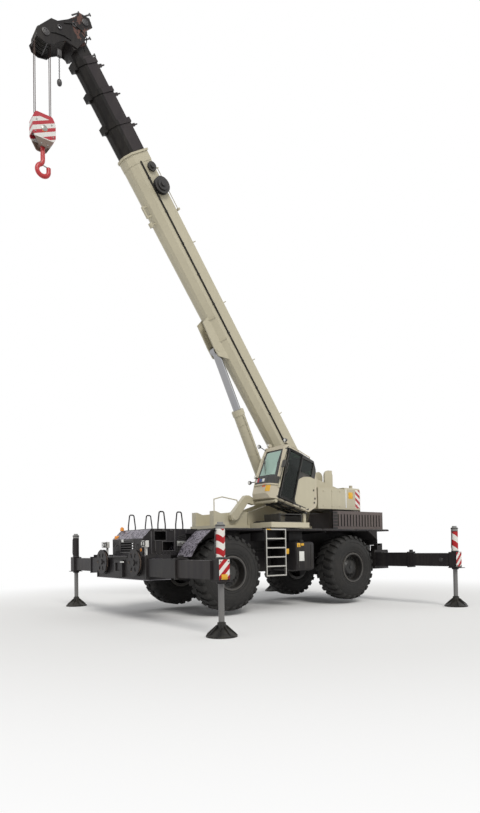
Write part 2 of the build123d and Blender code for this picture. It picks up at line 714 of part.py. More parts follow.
def jack_rod(centre_x, side, name):
    """Jack rod with its ground float."""
    jack_x = centre_x + side * (BEAM_PITCH / 2 - JACK_INSET)
    with BuildPart() as made:
        with BuildSketch(Plane.XY.offset(FLOAT_HEIGHT - 60)):
            with Locations((jack_x, side * JACK_Y)):
                Circle(JACK_ROD_RADIUS)
        extrude(amount=JACK_ROD_TOP - FLOAT_HEIGHT + 60)
        with BuildSketch(Plane(origin=(jack_x, side * JACK_Y, 0), x_dir=(1, 0, 0), z_dir=(0, -1, 0))):
            with BuildLine():
                Polyline(
                    (0, 0),
                    (FLOAT_RADIUS, 0),
                    (FLOAT_RADIUS, 35),
                    (95, 170),
                    (80, FLOAT_HEIGHT),
                    (0, FLOAT_HEIGHT),
                    close=True,
                )
            make_face()
        revolve(axis=Axis((jack_x, side * JACK_Y, 0), (0, 0, 1)))
        # ribs of the float
        for turn in range(8):
            rib_plane = Plane(origin=(jack_x, side * JACK_Y, 0), x_dir=(cos(turn * pi / 4), sin(turn * pi / 4), 0), z_dir=(sin(turn * pi / 4), -cos(turn * pi / 4), 0))
            with BuildSketch(rib_plane):
                with BuildLine():
                    Polyline((60, 20), (FLOAT_RADIUS - 15, 20), (FLOAT_RADIUS - 15, 60), (110, 215), (60, 240), close=True)
                make_face()
            extrude(amount=7, both=True)
    finish(made.part, name)


for end_name, centre_x, tow in (("front", FRONT_BOX_X, False), ("rear", REAR_BOX_X, True)):
    outrigger_box(centre_x, f"{end_name}_outrigger_box", tow)
    for side_name, side in (("left", 1), ("right", -1)):
        outer_beam(centre_x, side, f"outer_beam_{end_name}_{side_name}")
        inner_beam(centre_x, side, f"inner_beam_{end_name}_{side_name}")
        jack_rod(centre_x, side, f"jack_{end_name}_{side_name}")

# ---- fittings on the carrier
LADDER_X = (400, 1050)
LADDER_Y = DECK_HALF_WIDTH + 70
LADDER_LOW = 930
with BuildPart() as ladder:
    for rail_x in LADDER_X:
        with Locations((rail_x, LADDER_Y, (LADDER_LOW + DECK_TOP) / 2)):
            Box(30, 60, DECK_TOP - LADDER_LOW)
    for step in range(6):
        step_z = LADDER_LOW + 15 + step * (DECK_TOP - LADDER_LOW - 30) / 5
        with Locations((sum(LADDER_X) / 2, LADDER_Y, step_z)):
            Box(LADDER_X[1] - LADDER_X[0], 60, 30)
    for rail_x in LADDER_X:
        with Locations((rail_x, (LADDER_Y + DECK_HALF_WIDTH) / 2, DECK_TOP - DECK_THICKNESS / 2)):
            Box(30, LADDER_Y - DECK_HALF_WIDTH, DECK_THICKNESS)
finish(ladder.part, "ladder")

with BuildPart() as tanks:
    for side in (-1, 1):
        tank_side = DECK_HALF_WIDTH - TANK_INSET
        tank_top = TANK_Z + TANK_SIZE[1] / 2
        with Locations((TANK_X, side * (FRAME_HALF_WIDTH + tank_side) / 2, TANK_Z)):
            Box(TANK_SIZE[0], tank_side - FRAME_HALF_WIDTH, TANK_SIZE[1])
        with Locations((TANK_X, side * (FRAME_HALF_WIDTH + tank_side) / 2, (tank_top + FRAME_TOP) / 2)):
            Box(TANK_SIZE[0] - 200, 300, FRAME_TOP - tank_top)
finish(tanks.part, "side_tanks")

HOOP_X = (3150, 3640)
HOOP_BEND = 40
with BuildPart() as grab_rails:
    for side in (-1, 1):
        for hoop_x in HOOP_X:
            with BuildLine() as path:
                Polyline(
                    (hoop_x - 100, side * 790, DECK_TOP + 10),
                    (hoop_x - 100, side * 790, DECK_TOP + 110),
                    (hoop_x - 60, side * 790, 2570),
                    (hoop_x + 60, side * 790, 2570),
                    (hoop_x + 100, side * 790, DECK_TOP + 110),
                    (hoop_x + 100, side * 790, DECK_TOP + 10),
                )
                fillet(path.vertices().sort_by(Axis.Z)[2:], HOOP_BEND)
            with BuildSketch(Plane(origin=path.line @ 0, z_dir=path.line % 0)):
                RegularPolygon(17, 8)
            sweep(path=path.line)
finish(grab_rails.part, "grab_rails")

REEL_Y = 900
REEL_Z = 1370
BOX_FACE = FRONT_BOX_X + BOX_WIDTH / 2
with BuildPart() as hose_reels:
    for side in (-1, 1):
        for radius, start, depth in ((120, 0, 100), (310, 20, 12), (240, 20, 68), (310, 88, 12)):
            with BuildSketch(Plane.YZ.offset(BOX_FACE + start)):
                with Locations((side * REEL_Y, REEL_Z)):
                    Circle(radius)
            extrude(amount=depth)
        # openings between the spokes of the outer flange
        with BuildSketch(Plane.YZ.offset(BOX_FACE + 88)):
            with Locations((side * REEL_Y, REEL_Z)):
                with PolarLocations(190, 6):
                    SlotOverall(130, 70)
        extrude(amount=12, mode=Mode.SUBTRACT)
        with BuildSketch(Plane.YZ.offset(BOX_FACE + 88)):
            with Locations((side * REEL_Y, REEL_Z)):
                Circle(70)
        extrude(amount=35)
finish(hose_reels.part, "hose_reels")

LAMP = (4230, 1070, 1800)
with BuildPart() as lamps:
    for side in (-1, 1):
        with Locations((LAMP[0], side * LAMP[1], LAMP[2])):
            Box(90, 190, 150)
        with Locations((LAMP[0] - 20, side * LAMP[1], (BOX_HIGH + LAMP[2]) / 2)):
            Box(40, 70, LAMP[2] - BOX_HIGH)
finish(lamps.part, "headlamps")

# ================================================================ superstructure
SIDE_OUTLINE = [
    (-1500, TABLE_TOP),
    (700, TABLE_TOP),
    (700, 2640),
    (-100, 2900),
    (-900, 3500),
    (-1400, 3760),
    (-1850, 3760),
    (-3000, 3450),
    (-3000, 2780),
    (-1700, 2780),
]
with BuildPart() as turntable:
    with BuildSketch(Plane.XY.offset(TABLE_LOW)):
        with Locations(((TABLE_FRONT_X + TABLE_REAR_X) / 2, 0)):
            Rectangle(TABLE_FRONT_X - TABLE_REAR_X, 2 * TABLE_HALF_WIDTH)
        Circle(900)
    extrude(amount=TABLE_PLATE)
    # moving race inside the fixed one
    with BuildSketch(Plane.XY.offset(FRAME_TOP + 5)):
        Circle(RING_BORE - RING_FIT)
        Circle(RING_BORE - 50, mode=Mode.SUBTRACT)
    extrude(amount=TABLE_LOW - FRAME_TOP - 5)
    for side in (-1, 1):
        with BuildSketch(side_plane(side * (SIDE_PLATE_Y + SIDE_PLATE / 2))):
            with BuildLine():
                Polyline(*SIDE_OUTLINE, close=True)
            make_face()
        extrude(amount=SIDE_PLATE / 2, both=True)
        with BuildSketch(side_plane(side * FRONT_BOX_Y)):
            with BuildLine():
                Polyline(
                    (850, TABLE_TOP),
                    (TABLE_FRONT_X, TABLE_TOP),
                    (TABLE_FRONT_X, 2650),
                    (TABLE_FRONT_X - 60, 2650),
                    (TABLE_FRONT_X - 230, 2590),
                    (1400, 2620),
                    (1150, 2650),
                    (850, 2650),
                    close=True,
                )
            make_face()
        extrude(amount=side * (FRONT_BOX_Y - SIDE_PLATE_Y))
        # bosses of the foot pin
        with BuildSketch(side_plane(side * (SIDE_PLATE_Y + SIDE_PLATE))):
            with Locations((FOOT_X, FOOT_Z)):
                Circle(130)
        extrude(amount=-side * 30)
        with Locations(Pos(FOOT_X, side * (SIDE_PLATE_Y + SIDE_PLATE), FOOT_Z)):
            Cylinder(FOOT_PIN_RADIUS + RUNNING_GAP, 4 * SIDE_PLATE, rotation=(90, 0, 0), mode=Mode.SUBTRACT)
        # clevis of the luffing cylinder's foot
        with BuildSketch(side_plane(side * LUFF_CLEVIS_Y)):
            with BuildLine():
                Polyline(
                    (LUFF_FOOT_X - 260, TABLE_TOP),
                    (LUFF_FOOT_X - 120, LUFF_FOOT_Z + 130),
                    (LUFF_FOOT_X + 120, LUFF_FOOT_Z + 130),
                    (LUFF_FOOT_X + 260, TABLE_TOP),
                    close=True,
                )
            make_face()
        extrude(amount=20, both=True)
        with Locations(Pos(LUFF_FOOT_X, side * (LUFF_CLEVIS_Y + 35), LUFF_FOOT_Z)):
            Cylinder(LUFF_PIN_RADIUS + 20, 40, rotation=(90, 0, 0))
    # cross plates between the side plates
    for plate_x, low, high in ((-1480, TABLE_TOP, 2900), (-2950, 2780, 3400)):
        with Locations((plate_x, 0, (low + high) / 2)):
            Box(40, 2 * SIDE_PLATE_Y, high - low)
    # rounded cheeks of the winch frame on their cross plate, and the post behind them
    with Locations((CHEEK_X, 0, CHEEK_LOW)):
        Box(420, 2 * SIDE_PLATE_Y, 40)
    for side in (-1, 1):
        with BuildSketch(side_plane(side * CHEEK_Y)):
            with Locations((CHEEK_X, (CHEEK_LOW + CHEEK_TOP - CHEEK_HALF) / 2)):
                Rectangle(2 * CHEEK_HALF, CHEEK_TOP - CHEEK_HALF - CHEEK_LOW)
            with Locations((CHEEK_X, CHEEK_TOP - CHEEK_HALF)):
                Circle(CHEEK_HALF)
        extrude(amount=30, both=True)
    with Locations((-2905, 0, (3380 + CHEEK_TOP + 30) / 2)):
        Cylinder(90, CHEEK_TOP + 30 - 3380)
    # handrail over the front
    with BuildLine() as rail_path:
        Polyline(
            (1900, RAIL_Y, 2640),
            (1900, RAIL_Y, 2960),
            (1640, RAIL_Y, 3030),
            (1150, RAIL_Y, 2960),
            (1060, RAIL_Y, 2640),
        )
    with BuildSketch(Plane(origin=rail_path.line @ 0, z_dir=rail_path.line % 0)):
        RegularPolygon(15, 8)
    sweep(path=rail_path.line, transition=Transition.RIGHT)
    # steps and grating box under the cab
    with Locations((95, 1150, (2330 + 2560) / 2)):
        Box(790, 640, 2560 - 2330)
        Box(730, 640, 2560 - 2330 - 50, mode=Mode.SUBTRACT)
    # cab platform
    with Locations((165, (TABLE_HALF_WIDTH + 1540) / 2, (TABLE_LOW + 2330) / 2)):
        Box(1350, 1540 - TABLE_HALF_WIDTH, 2330 - TABLE_LOW)
    # hinge posts of the cab, each ending in an eye
    for post_y in CAB_POST_Y:
        with Locations((CAB_HINGE_X, post_y, (TABLE_LOW + CAB_HINGE_Z) / 2)):
            Box(90, CAB_POST, CAB_HINGE_Z - TABLE_LOW)
        with Locations(Pos(CAB_HINGE_X, post_y, CAB_HINGE_Z)):
            Cylinder(50, CAB_POST, rotation=(90, 0, 0))
            Cylinder(CAB_PIN_RADIUS + RUNNING_GAP, CAB_POST, rotation=(90, 0, 0), mode=Mode.SUBTRACT)
    # pin of the cab's lifting arm
    with Locations(Pos(ARM_PIVOT_X, (FRONT_BOX_Y + ARM_OUTER_Y) / 2, ARM_PIVOT_Z)):
        Cylinder(ARM_PIN_RADIUS, ARM_OUTER_Y - FRONT_BOX_Y + 20, rotation=(90, 0, 0))
finish(turntable.part, "turntable")

with BuildPart() as counterweight:
    with BuildSketch(Plane.XY.offset(COUNTERWEIGHT_LOW)):
        with BuildLine():
            Polyline(
                (-2250, COUNTERWEIGHT_HALF_WIDTH),
                (-2900, COUNTERWEIGHT_HALF_WIDTH),
                (-3550, 700),
                (-3550, -700),
                (-2900, -COUNTERWEIGHT_HALF_WIDTH),
                (-2250, -COUNTERWEIGHT_HALF_WIDTH),
                (-2250, -(SIDE_PLATE_Y + SIDE_PLATE)),
                (-3000, -(SIDE_PLATE_Y + SIDE_PLATE)),
                (-3000, SIDE_PLATE_Y + SIDE_PLATE),
                (-2250, SIDE_PLATE_Y + SIDE_PLATE),
                close=True,
            )
        make_face()
    extrude(amount=COUNTERWEIGHT_TOP - COUNTERWEIGHT_LOW)
    # rounded upper rim all round the outside, and the lifting eye posts
    rim_edges = [edge for edge in counterweight.edges().filter_by(Plane.XY).group_by(Axis.Z)[-1] if abs(edge.center().Y) > SIDE_PLATE_Y + SIDE_PLATE + 5 and edge.center().X < -2260 or edge.center().X < -3100]
    fillet(rim_edges, 60)
    for side in (-1, 1):
        with Locations((-3400, side * 450, COUNTERWEIGHT_TOP + 90)):
            Box(90, 60, 200)
finish(counterweight.part, "counterweight")

with BuildPart() as cabinets:
    for side in (-1, 1):
        with Locations((-1700, side * (SIDE_PLATE_Y + SIDE_PLATE + COUNTERWEIGHT_HALF_WIDTH) / 2, 3050)):
            Box(1100, COUNTERWEIGHT_HALF_WIDTH - SIDE_PLATE_Y - SIDE_PLATE, 600)
finish(cabinets.part, "side_cabinets")

with BuildPart() as winch:
    with Locations(Pos(-2550, 0, 3120)):
        Cylinder(180, 2 * SIDE_PLATE_Y, rotation=(90, 0, 0))
    for side in (-1, 1):
        with Locations(Pos(-2550, side * (SIDE_PLATE_Y - 60), 3120)):
            Cylinder(270, 25, rotation=(90, 0, 0))
finish(winch.part, "winch")

# ================================================================ boom
def folded_section(depth, width):
    """Box section with flat upper sides and a keel folded towards the bottom."""
    top, low = depth / 2, -depth / 2
    with BuildSketch() as section:
        with BuildLine():
            Polyline(
                (-width / 2, top),
                (width / 2, top),
                (width / 2, low + depth * 0.30),
                (width / 2 * 0.62, low + depth * 0.06),
                (width / 2 * 0.30, low),
                (-width / 2 * 0.30, low),
                (-width / 2 * 0.62, low + depth * 0.06),
                (-width / 2, low + depth * 0.30),
                close=True,
            )
        make_face()
    return section.sketch


def boom_tube(root, head, depth, width, bore, mouth):
    """One telescoping tube: its wall, the thick frame of its mouth and the fitted bore there."""
    length, rim = mouth
    low, top = -depth / 2 - rim, depth / 2 + rim
    with BuildPart() as tube:
        # wear block under the mouth, rope guide and pin above it
        with Locations(Plane(origin=boom_point(head - length / 2, low - 35), x_dir=ALONG, z_dir=ACROSS)):
            Box(150, 170, 110)
        for side in (-1, 1):
            with Locations(Plane(origin=boom_point(head - length - 60, top + 30, side * (width / 2 - 50)), x_dir=ALONG, z_dir=ACROSS)):
                Box(60, 50, 140)
                Cylinder(16, 300)
        with Locations(Plane(origin=boom_point(head - 30, top + 25, width / 2 - 110), x_dir=ALONG, z_dir=ACROSS)):
            Cylinder(12, 130)
        with BuildSketch(boom_section_plane(root)):
            add(folded_section(depth, width))
        extrude(amount=head - root)
        with BuildSketch(boom_section_plane(head - length)):
            add(folded_section(depth + 2 * rim, width + 2 * rim))
        extrude(amount=length)
        with BuildSketch(boom_section_plane(root)):
            add(folded_section(depth - 2 * SECTION_WALL, width - 2 * SECTION_WALL))
        extrude(amount=head - length - root, mode=Mode.SUBTRACT)
        with BuildSketch(boom_section_plane(root)):
            add(folded_section(*bore))
        extrude(amount=head - root, mode=Mode.SUBTRACT)
    return tube.part


def bore_round(index):
    """Bore that guides the section of this place in the table."""
    _, _, _, depth, width = SECTIONS[index]
    return depth + 2 * SECTION_FIT, width + 2 * SECTION_FIT


with BuildPart() as boom_base:
    with BuildSketch(boom_section_plane(BOOM_REAR)):
        add(folded_section(BASE_DEPTH, BASE_WIDTH))
    extrude(amount=BASE_HEAD - BOOM_REAR)
    # foot: block narrowing to the pin
    with BuildSketch(boom_side_plane(0)):
        with BuildLine():
            Polyline(
                (BOOM_REAR, BASE_DEPTH / 2),
                (BOOM_REAR, -BASE_DEPTH / 2),
                (120, -200),
                (-60, -140),
                (-140, 0),
                (-60, 160),
                (100, BASE_DEPTH / 2),
                close=True,
            )
        make_face()
    extrude(amount=BASE_WIDTH / 2, both=True)
    # head frame and the two stiffening frames either side of the cylinder's eye
    for frame_s, length, rim in ((BASE_HEAD - 260, 260, 8), (BASE_HEAD - 45, 45, 34)):
        with BuildSketch(boom_section_plane(frame_s)):
            add(folded_section(BASE_DEPTH + 2 * rim, BASE_WIDTH + 2 * rim))
        extrude(amount=length)
    for frame_s in (EYE_S + 140, EYE_S + 760):
        with BuildSketch(boom_section_plane(frame_s)):
            add(folded_section(BASE_DEPTH + 44, BASE_WIDTH + 44))
            with Locations((0, BASE_DEPTH / 2 - 140)):
                Rectangle(2 * BASE_WIDTH, BASE_DEPTH, mode=Mode.SUBTRACT)
        extrude(amount=28)
    # brackets for the luffing cylinder's eye
    for side in (-1, 1):
        with BuildSketch(boom_side_plane(side * EYE_BRACKET_Y)):
            with BuildLine():
                Polyline(
                    (EYE_S - 380, -300),
                    (EYE_S - 150, EYE_N - 100),
                    (EYE_S + 150, EYE_N - 100),
                    (EYE_S + 800, EYE_N - 40),
                    (EYE_S + 860, -300),
                    close=True,
                )
            make_face()
        extrude(amount=20, both=True)
    with BuildSketch(boom_section_plane(BOOM_REAR)):
        add(folded_section(BASE_DEPTH - 2 * SECTION_WALL, BASE_WIDTH - 2 * SECTION_WALL))
    extrude(amount=BASE_HEAD - 260 - BOOM_REAR, mode=Mode.SUBTRACT)
    with BuildSketch(boom_section_plane(BOOM_REAR)):
        add(folded_section(*bore_round(0)))
    extrude(amount=BASE_HEAD - BOOM_REAR, mode=Mode.SUBTRACT)
    # rope guide posts and the long rod above the upper edge, lamp and brackets below
    top, low, edge_y = BASE_DEPTH / 2, -BASE_DEPTH / 2, BASE_WIDTH / 2 - 30
    for post_s in (2290, 4000, 5720, 7400, ROD_S[0], ROD_S[1]):
        with Locations(Plane(origin=boom_point(post_s, top + 45, edge_y), x_dir=ALONG, z_dir=ACROSS)):
            Cylinder(14, 130)
    with Locations(Plane(origin=boom_point(ROD_S[0], top + 80, edge_y), x_dir=ALONG, z_dir=ACROSS)):
        Box(50, 90, 60)
    with BuildSketch(Plane(origin=boom_point(ROD_S[0], top + 80, edge_y), z_dir=ALONG)):
        Circle(10)
    extrude(amount=ROD_S[1] - ROD_S[0] + 20)
    for leg_s in (8380, 8620):
        with Locations(Plane(origin=boom_point(leg_s, low - 60, 60), x_dir=ALONG, z_dir=ACROSS)):
            Box(30, 40, 160)
    with Locations(Plane(origin=boom_point(8500, low - 130, 60), x_dir=ALONG, z_dir=ACROSS)):
        Box(290, 60, 30)
    with Locations(Plane(origin=boom_point(8180, low - 70, 60), x_dir=ALONG, z_dir=ACROSS)):
        Cylinder(16, 160)
    with Locations(Plane(origin=boom_point(8180, low - 140, 60), x_dir=ACROSS, z_dir=ALONG)):
        Cylinder(55, 110)
    # pin through the eye brackets and the foot pin
    with Locations(Location(EYE)):
        Cylinder(LUFF_PIN_RADIUS, 2 * (EYE_BRACKET_Y + 30), rotation=(90, 0, 0))
    with Locations(Location(FOOT)):
        Cylinder(FOOT_PIN_RADIUS, 2 * (SIDE_PLATE_Y + SIDE_PLATE + 30), rotation=(90, 0, 0))
finish(boom_base.part, "boom_base")

for index, (name, root, head, depth, width) in enumerate(SECTIONS[:-1]):
    tube = boom_tube(root, head, depth, width, bore_round(index + 1), (110, 20))
    finish(tube, name)

name, root, head, depth, width = SECTIONS[-1]
with BuildPart() as fly:
    with BuildSketch(boom_section_plane(root)):
        add(folded_section(depth, width))
    extrude(amount=head - root)
    # twin head plates carrying both sheave shafts
    for side in (-1, 1):
        with BuildSketch(boom_side_plane(side * (HEAD_PLATE_Y + HEAD_PLATE / 2))):
            with BuildLine():
                Polyline(*HEAD_OUTLINE, close=True)
            make_face()
        extrude(amount=HEAD_PLATE / 2, both=True)
    # webs between the plates and the tube
    with BuildSketch(boom_side_plane(0)):
        with BuildLine():
            Polyline((12110, -244), (12110, -140), (12380, 244), (12380, 200), (12380, -244), close=True)
        make_face()
    extrude(amount=HEAD_PLATE_Y, both=True)
    with BuildSketch(boom_section_plane(root)):
        add(folded_section(depth - 2 * SECTION_WALL, width - 2 * SECTION_WALL))
    extrude(amount=head - root, mode=Mode.SUBTRACT)
    for s, n in ((HEAD_SHEAVE_S, HEAD_SHEAVE_N), (TOP_SHEAVE_S, TOP_SHEAVE_N)):
        with Locations(Location(boom_point(s, n))):
            Cylinder(SHAFT_RADIUS, 2 * HEAD_PLATE_Y, rotation=(90, 0, 0))
    # bores for the pins of a lattice extension
    for n in JIB_PIN_N:
        with Locations(Location(boom_point(JIB_PIN_S, n))):
            Cylinder(JIB_PIN_RADIUS, 2 * (HEAD_PLATE_Y + HEAD_PLATE), rotation=(90, 0, 0), mode=Mode.SUBTRACT)
finish(fly.part, name)
print("jib pins", [boom_point(JIB_PIN_S, n) for n in JIB_PIN_N])

SHEAVE_Y = [-150, -50, 50, 150]


def sheave(centre, radius):
    """Grooved rope sheave bored for its shaft."""
    core = radius - 25
    with BuildPart() as wheel:
        with BuildSketch(Plane(origin=centre, x_dir=(1, 0, 0), z_dir=(0, 0, 1))):
            with BuildLine():
                Polyline(
                    (SHAFT_RADIUS, -SHEAVE_WIDTH / 2),
                    (radius, -SHEAVE_WIDTH / 2),
                    (radius, -SHEAVE_WIDTH / 2 + 8),
                    (core, -12),
                    (core, 12),
                    (radius, SHEAVE_WIDTH / 2 - 8),
                    (radius, SHEAVE_WIDTH / 2),
                    (SHAFT_RADIUS, SHEAVE_WIDTH / 2),
                    close=True,
                )
            make_face()
        revolve(axis=Axis(centre, (0, 1, 0)))
    return wheel.part


with BuildPart() as head_sheaves:
    for s, n, rows in ((HEAD_SHEAVE_S, HEAD_SHEAVE_N, SHEAVE_Y), (TOP_SHEAVE_S, TOP_SHEAVE_N, [0])):
        centre = boom_point(s, n)
        for row in rows:
            add(sheave(centre + Vector(0, row, 0), SHEAVE_RADIUS if n < 0 else 150))
finish(head_sheaves.part, "head_sheaves")

with BuildPart() as cable_reel:
    for s, n, radius, start, depth in (
        (8870, 210, 140, 0, 150),
        (8870, 210, 210, 20, 14),
        (8870, 210, 180, 34, 70),
        (8870, 210, 210, 104, 14),
        (8870, 210, 60, 150, 35),
        (9350, 230, 60, 0, 60),
        (9350, 230, 115, 20, 50),
        (9350, 230, 55, 60, 45),
    ):
        with BuildSketch(boom_side_plane(BASE_WIDTH / 2 + start + depth)):
            with Locations((s, n)):
                Circle(radius)
        extrude(amount=depth)
finish(cable_reel.part, "cable_reel")

# ================================================================ luffing cylinder
def luff_plane(distance):
    """Plane square to the luffing cylinder at a distance from its foot pin."""
    return Plane(origin=LUFF_FOOT + LUFF_DIR * distance, x_dir=(0, 1, 0), z_dir=LUFF_DIR)


with BuildPart() as luff_barrel:
    with BuildSketch(luff_plane(LUFF_NECK)):
        Circle(LUFF_BARREL_RADIUS)
    extrude(amount=LUFF_BARREL_LENGTH - LUFF_NECK)
    with BuildSketch(luff_plane(LUFF_BARREL_LENGTH - 160)):
        Circle(LUFF_BARREL_RADIUS + 15)
    extrude(amount=160)
    with Locations(Location(LUFF_FOOT)):
        Cylinder(LUFF_EYE_RADIUS, 2 * LUFF_BARREL_RADIUS, rotation=(90, 0, 0))
    with BuildSketch(luff_plane(0)):
        Rectangle(2 * LUFF_BARREL_RADIUS, 2 * LUFF_EYE_RADIUS)
    extrude(amount=LUFF_NECK)
    with BuildSketch(luff_plane(LUFF_NECK + 60)):
        Circle(LUFF_ROD_RADIUS + RUNNING_GAP)
    extrude(amount=LUFF_BARREL_LENGTH - LUFF_NECK - 60, mode=Mode.SUBTRACT)
finish(luff_barrel.part, "luff_barrel")

with BuildPart() as luff_rod:
    with BuildSketch(luff_plane(LUFF_LENGTH - 2950)):
        Circle(LUFF_ROD_RADIUS)
    extrude(amount=2950 - 60)
    with Locations(Location(EYE)):
        Cylinder(LUFF_EYE_RADIUS - 10, LUFF_EYE_WIDTH, rotation=(90, 0, 0))
        Cylinder(LUFF_PIN_RADIUS + RUNNING_GAP, LUFF_EYE_WIDTH, rotation=(90, 0, 0), mode=Mode.SUBTRACT)
finish(luff_rod.part, "luff_rod")

# ================================================================ hook block
HOOK_AXIS = boom_point(HEAD_SHEAVE_S, HEAD_SHEAVE_N)
HOOK_X = HOOK_AXIS.X
SHAFT_Z = BLOCK_TOP - 330
CROSSHEAD, CROSSHEAD_Z = 100, BLOCK_TOP - 640
CHEEK_PLATE_Y, BLOCK_HALF = 110, 260
SHANK_RADIUS = 50
BOWL_RADIUS = 130
with BuildPart() as ropes:
    for row in SHEAVE_Y[1:3]:
        for reach in (-1, 1):
            with BuildSketch(Plane.XY.offset(SHAFT_Z)):
                with Locations((HOOK_X + reach * (SHEAVE_RADIUS - 25 + ROPE_RADIUS + ROPE_FIT), row)):
                    Circle(ROPE_RADIUS)
            extrude(amount=HOOK_AXIS.Z - SHAFT_Z)
finish(ropes.part, "hoist_ropes")

with BuildPart() as block:
    for row in SHEAVE_Y[1:3]:
        add(sheave(Vector(HOOK_X, row, SHAFT_Z), SHEAVE_RADIUS))
    with Locations(Pos(HOOK_X, 0, SHAFT_Z)):
        Cylinder(SHAFT_RADIUS, 240, rotation=(90, 0, 0))
    for side in (-1, 1):
        with BuildSketch(side_plane(side * CHEEK_PLATE_Y)) as cheek:
            with BuildLine():
                Polyline(
                    (HOOK_X - 190, BLOCK_TOP),
                    (HOOK_X + 190, BLOCK_TOP),
                    (HOOK_X + BLOCK_HALF, BLOCK_TOP - 150),
                    (HOOK_X + BLOCK_HALF, BLOCK_TOP - 480),
                    (HOOK_X + 110, BLOCK_TOP - 740),
                    (HOOK_X - 110, BLOCK_TOP - 740),
                    (HOOK_X - BLOCK_HALF, BLOCK_TOP - 480),
                    (HOOK_X - BLOCK_HALF, BLOCK_TOP - 150),
                    close=True,
                )
            make_face()
            fillet(cheek.vertices().group_by(Axis.Z)[-1], 70)
        extrude(amount=15, both=True)
        # closing plates over the edges of the sheaves
        with Locations((HOOK_X + side * (BLOCK_HALF - 10), 0, BLOCK_TOP - 315)):
            Box(20, 2 * CHEEK_PLATE_Y - 10, 330)
    # crosshead bored for the hook's shank
    with Locations((HOOK_X, 0, CROSSHEAD_Z)):
        Box(180, 220, CROSSHEAD)
        Cylinder(SHANK_RADIUS + RUNNING_GAP, CROSSHEAD, mode=Mode.SUBTRACT)
finish(block.part, "hook_block")

NUT_LOW = CROSSHEAD_Z + CROSSHEAD / 2 + PAD_FIT
with BuildPart() as hook:
    with BuildSketch(Plane.XY.offset(HOOK_LOW + 420)):
        with Locations((HOOK_X, 0)):
            Circle(SHANK_RADIUS)
    extrude(amount=NUT_LOW - HOOK_LOW - 420)
    with BuildSketch(Plane.XY.offset(NUT_LOW)):
        with Locations((HOOK_X, 0)):
            Circle(SHANK_RADIUS + 20)
    extrude(amount=35)
    # neck, bowl of a full half turn and the raised point
    bowl_z = HOOK_LOW + SHANK_RADIUS + BOWL_RADIUS
    neck_z = HOOK_LOW + 420
    middle = (HOOK_X + BOWL_RADIUS / 2, (neck_z + bowl_z) / 2)
    with BuildLine(Plane.XZ) as hook_path:
        Line((HOOK_X, neck_z + 30), (HOOK_X, neck_z))
        neck = TangentArc((HOOK_X, neck_z), middle, tangent=(0, -1))
        TangentArc(middle, (HOOK_X + BOWL_RADIUS, bowl_z), tangent=neck % 1)
        ThreePointArc((HOOK_X + BOWL_RADIUS, bowl_z), (HOOK_X, bowl_z - BOWL_RADIUS), (HOOK_X - BOWL_RADIUS, bowl_z))
        Line((HOOK_X - BOWL_RADIUS, bowl_z), (HOOK_X - BOWL_RADIUS, bowl_z + 90))
    with BuildSketch(Plane(origin=(HOOK_X, 0, neck_z + 30), z_dir=(0, 0, -1))):
        Circle(SHANK_RADIUS)
    sweep(path=hook_path.line)
finish(hook.part, "hook")

# ================================================================ cab
def cab_outline(inset):
    """Side outline of the cab in its own frame, moved in by a wall."""
    return [
        (0 + inset * 0.4, inset),
        (CAB_FRONT - 60 - inset, inset),
        (CAB_FRONT - inset, 130),
        (CAB_FRONT - inset, 560),
        (CAB_FRONT - 120 - inset, CAB_HEIGHT - inset),
        (170 + inset, CAB_HEIGHT - 100 - inset),
        (40 + inset, CAB_HEIGHT - 300),
        (-230 + inset, 330),
        (-230 + inset, 200),
    ]


def cab_point(along, up, y):
    """World point from distances in the cab's own side view."""
    origin = cab_side_plane(y)
    return origin.origin + origin.x_dir * along + origin.y_dir * up


def cab_solid(inset):
    """Cab's whole form moved in by a wall: its side outline within its rounded plan."""
    with BuildPart() as form:
        with BuildSketch(cab_side_plane(CAB_OUTER_Y)):
            with BuildLine():
                Polyline(*cab_outline(inset), close=True)
            make_face()
        extrude(amount=CAB_OUTER_Y - CAB_INNER_Y)
        with BuildSketch(Plane(origin=cab_point(0, -200, 0), x_dir=CAB_ALONG, z_dir=CAB_UP)):
            with BuildLine():
                Polyline(
                    (CORNER_X - inset, CAB_OUTER_Y - inset),
                    (-500, CAB_OUTER_Y - inset),
                    (-500, CAB_INNER_Y + inset),
                    (CAB_FRONT - inset, CAB_INNER_Y + inset),
                    (CAB_FRONT - inset, CORNER_Y),
                )
                ThreePointArc(
                    (CAB_FRONT - inset, CORNER_Y),
                    (CAB_FRONT - 55 - inset * 0.85, CORNER_Y + 215 - inset * 0.2),
                    (CORNER_X - inset, CAB_OUTER_Y - inset),
                )
            make_face()
        extrude(amount=CAB_HEIGHT + 400, mode=Mode.INTERSECT)
    return form.part


# windows: from and to along the cab, from and to upwards, from and to across
DOOR_OPENING = (640, 1120, 60, 1400, CAB_OUTER_Y - CAB_WALL - 10, CAB_OUTER_Y + 20)
WINDOWS = [
    (CAB_FRONT - 250, CAB_FRONT + 20, 600, 1380, CAB_INNER_Y + 90, CAB_OUTER_Y - 90),
    (-200, 160, 760, 1180, CAB_INNER_Y + 90, CAB_OUTER_Y - 90),
    (500, 1050, 1390, 1600, CAB_INNER_Y + 90, CAB_OUTER_Y - 90),
    (150, 590, 950, 1340, CAB_OUTER_Y - CAB_WALL - 10, CAB_OUTER_Y + 20),
    (250, 1180, 650, 1360, CAB_INNER_Y - 20, CAB_INNER_Y + CAB_WALL + 10),
]


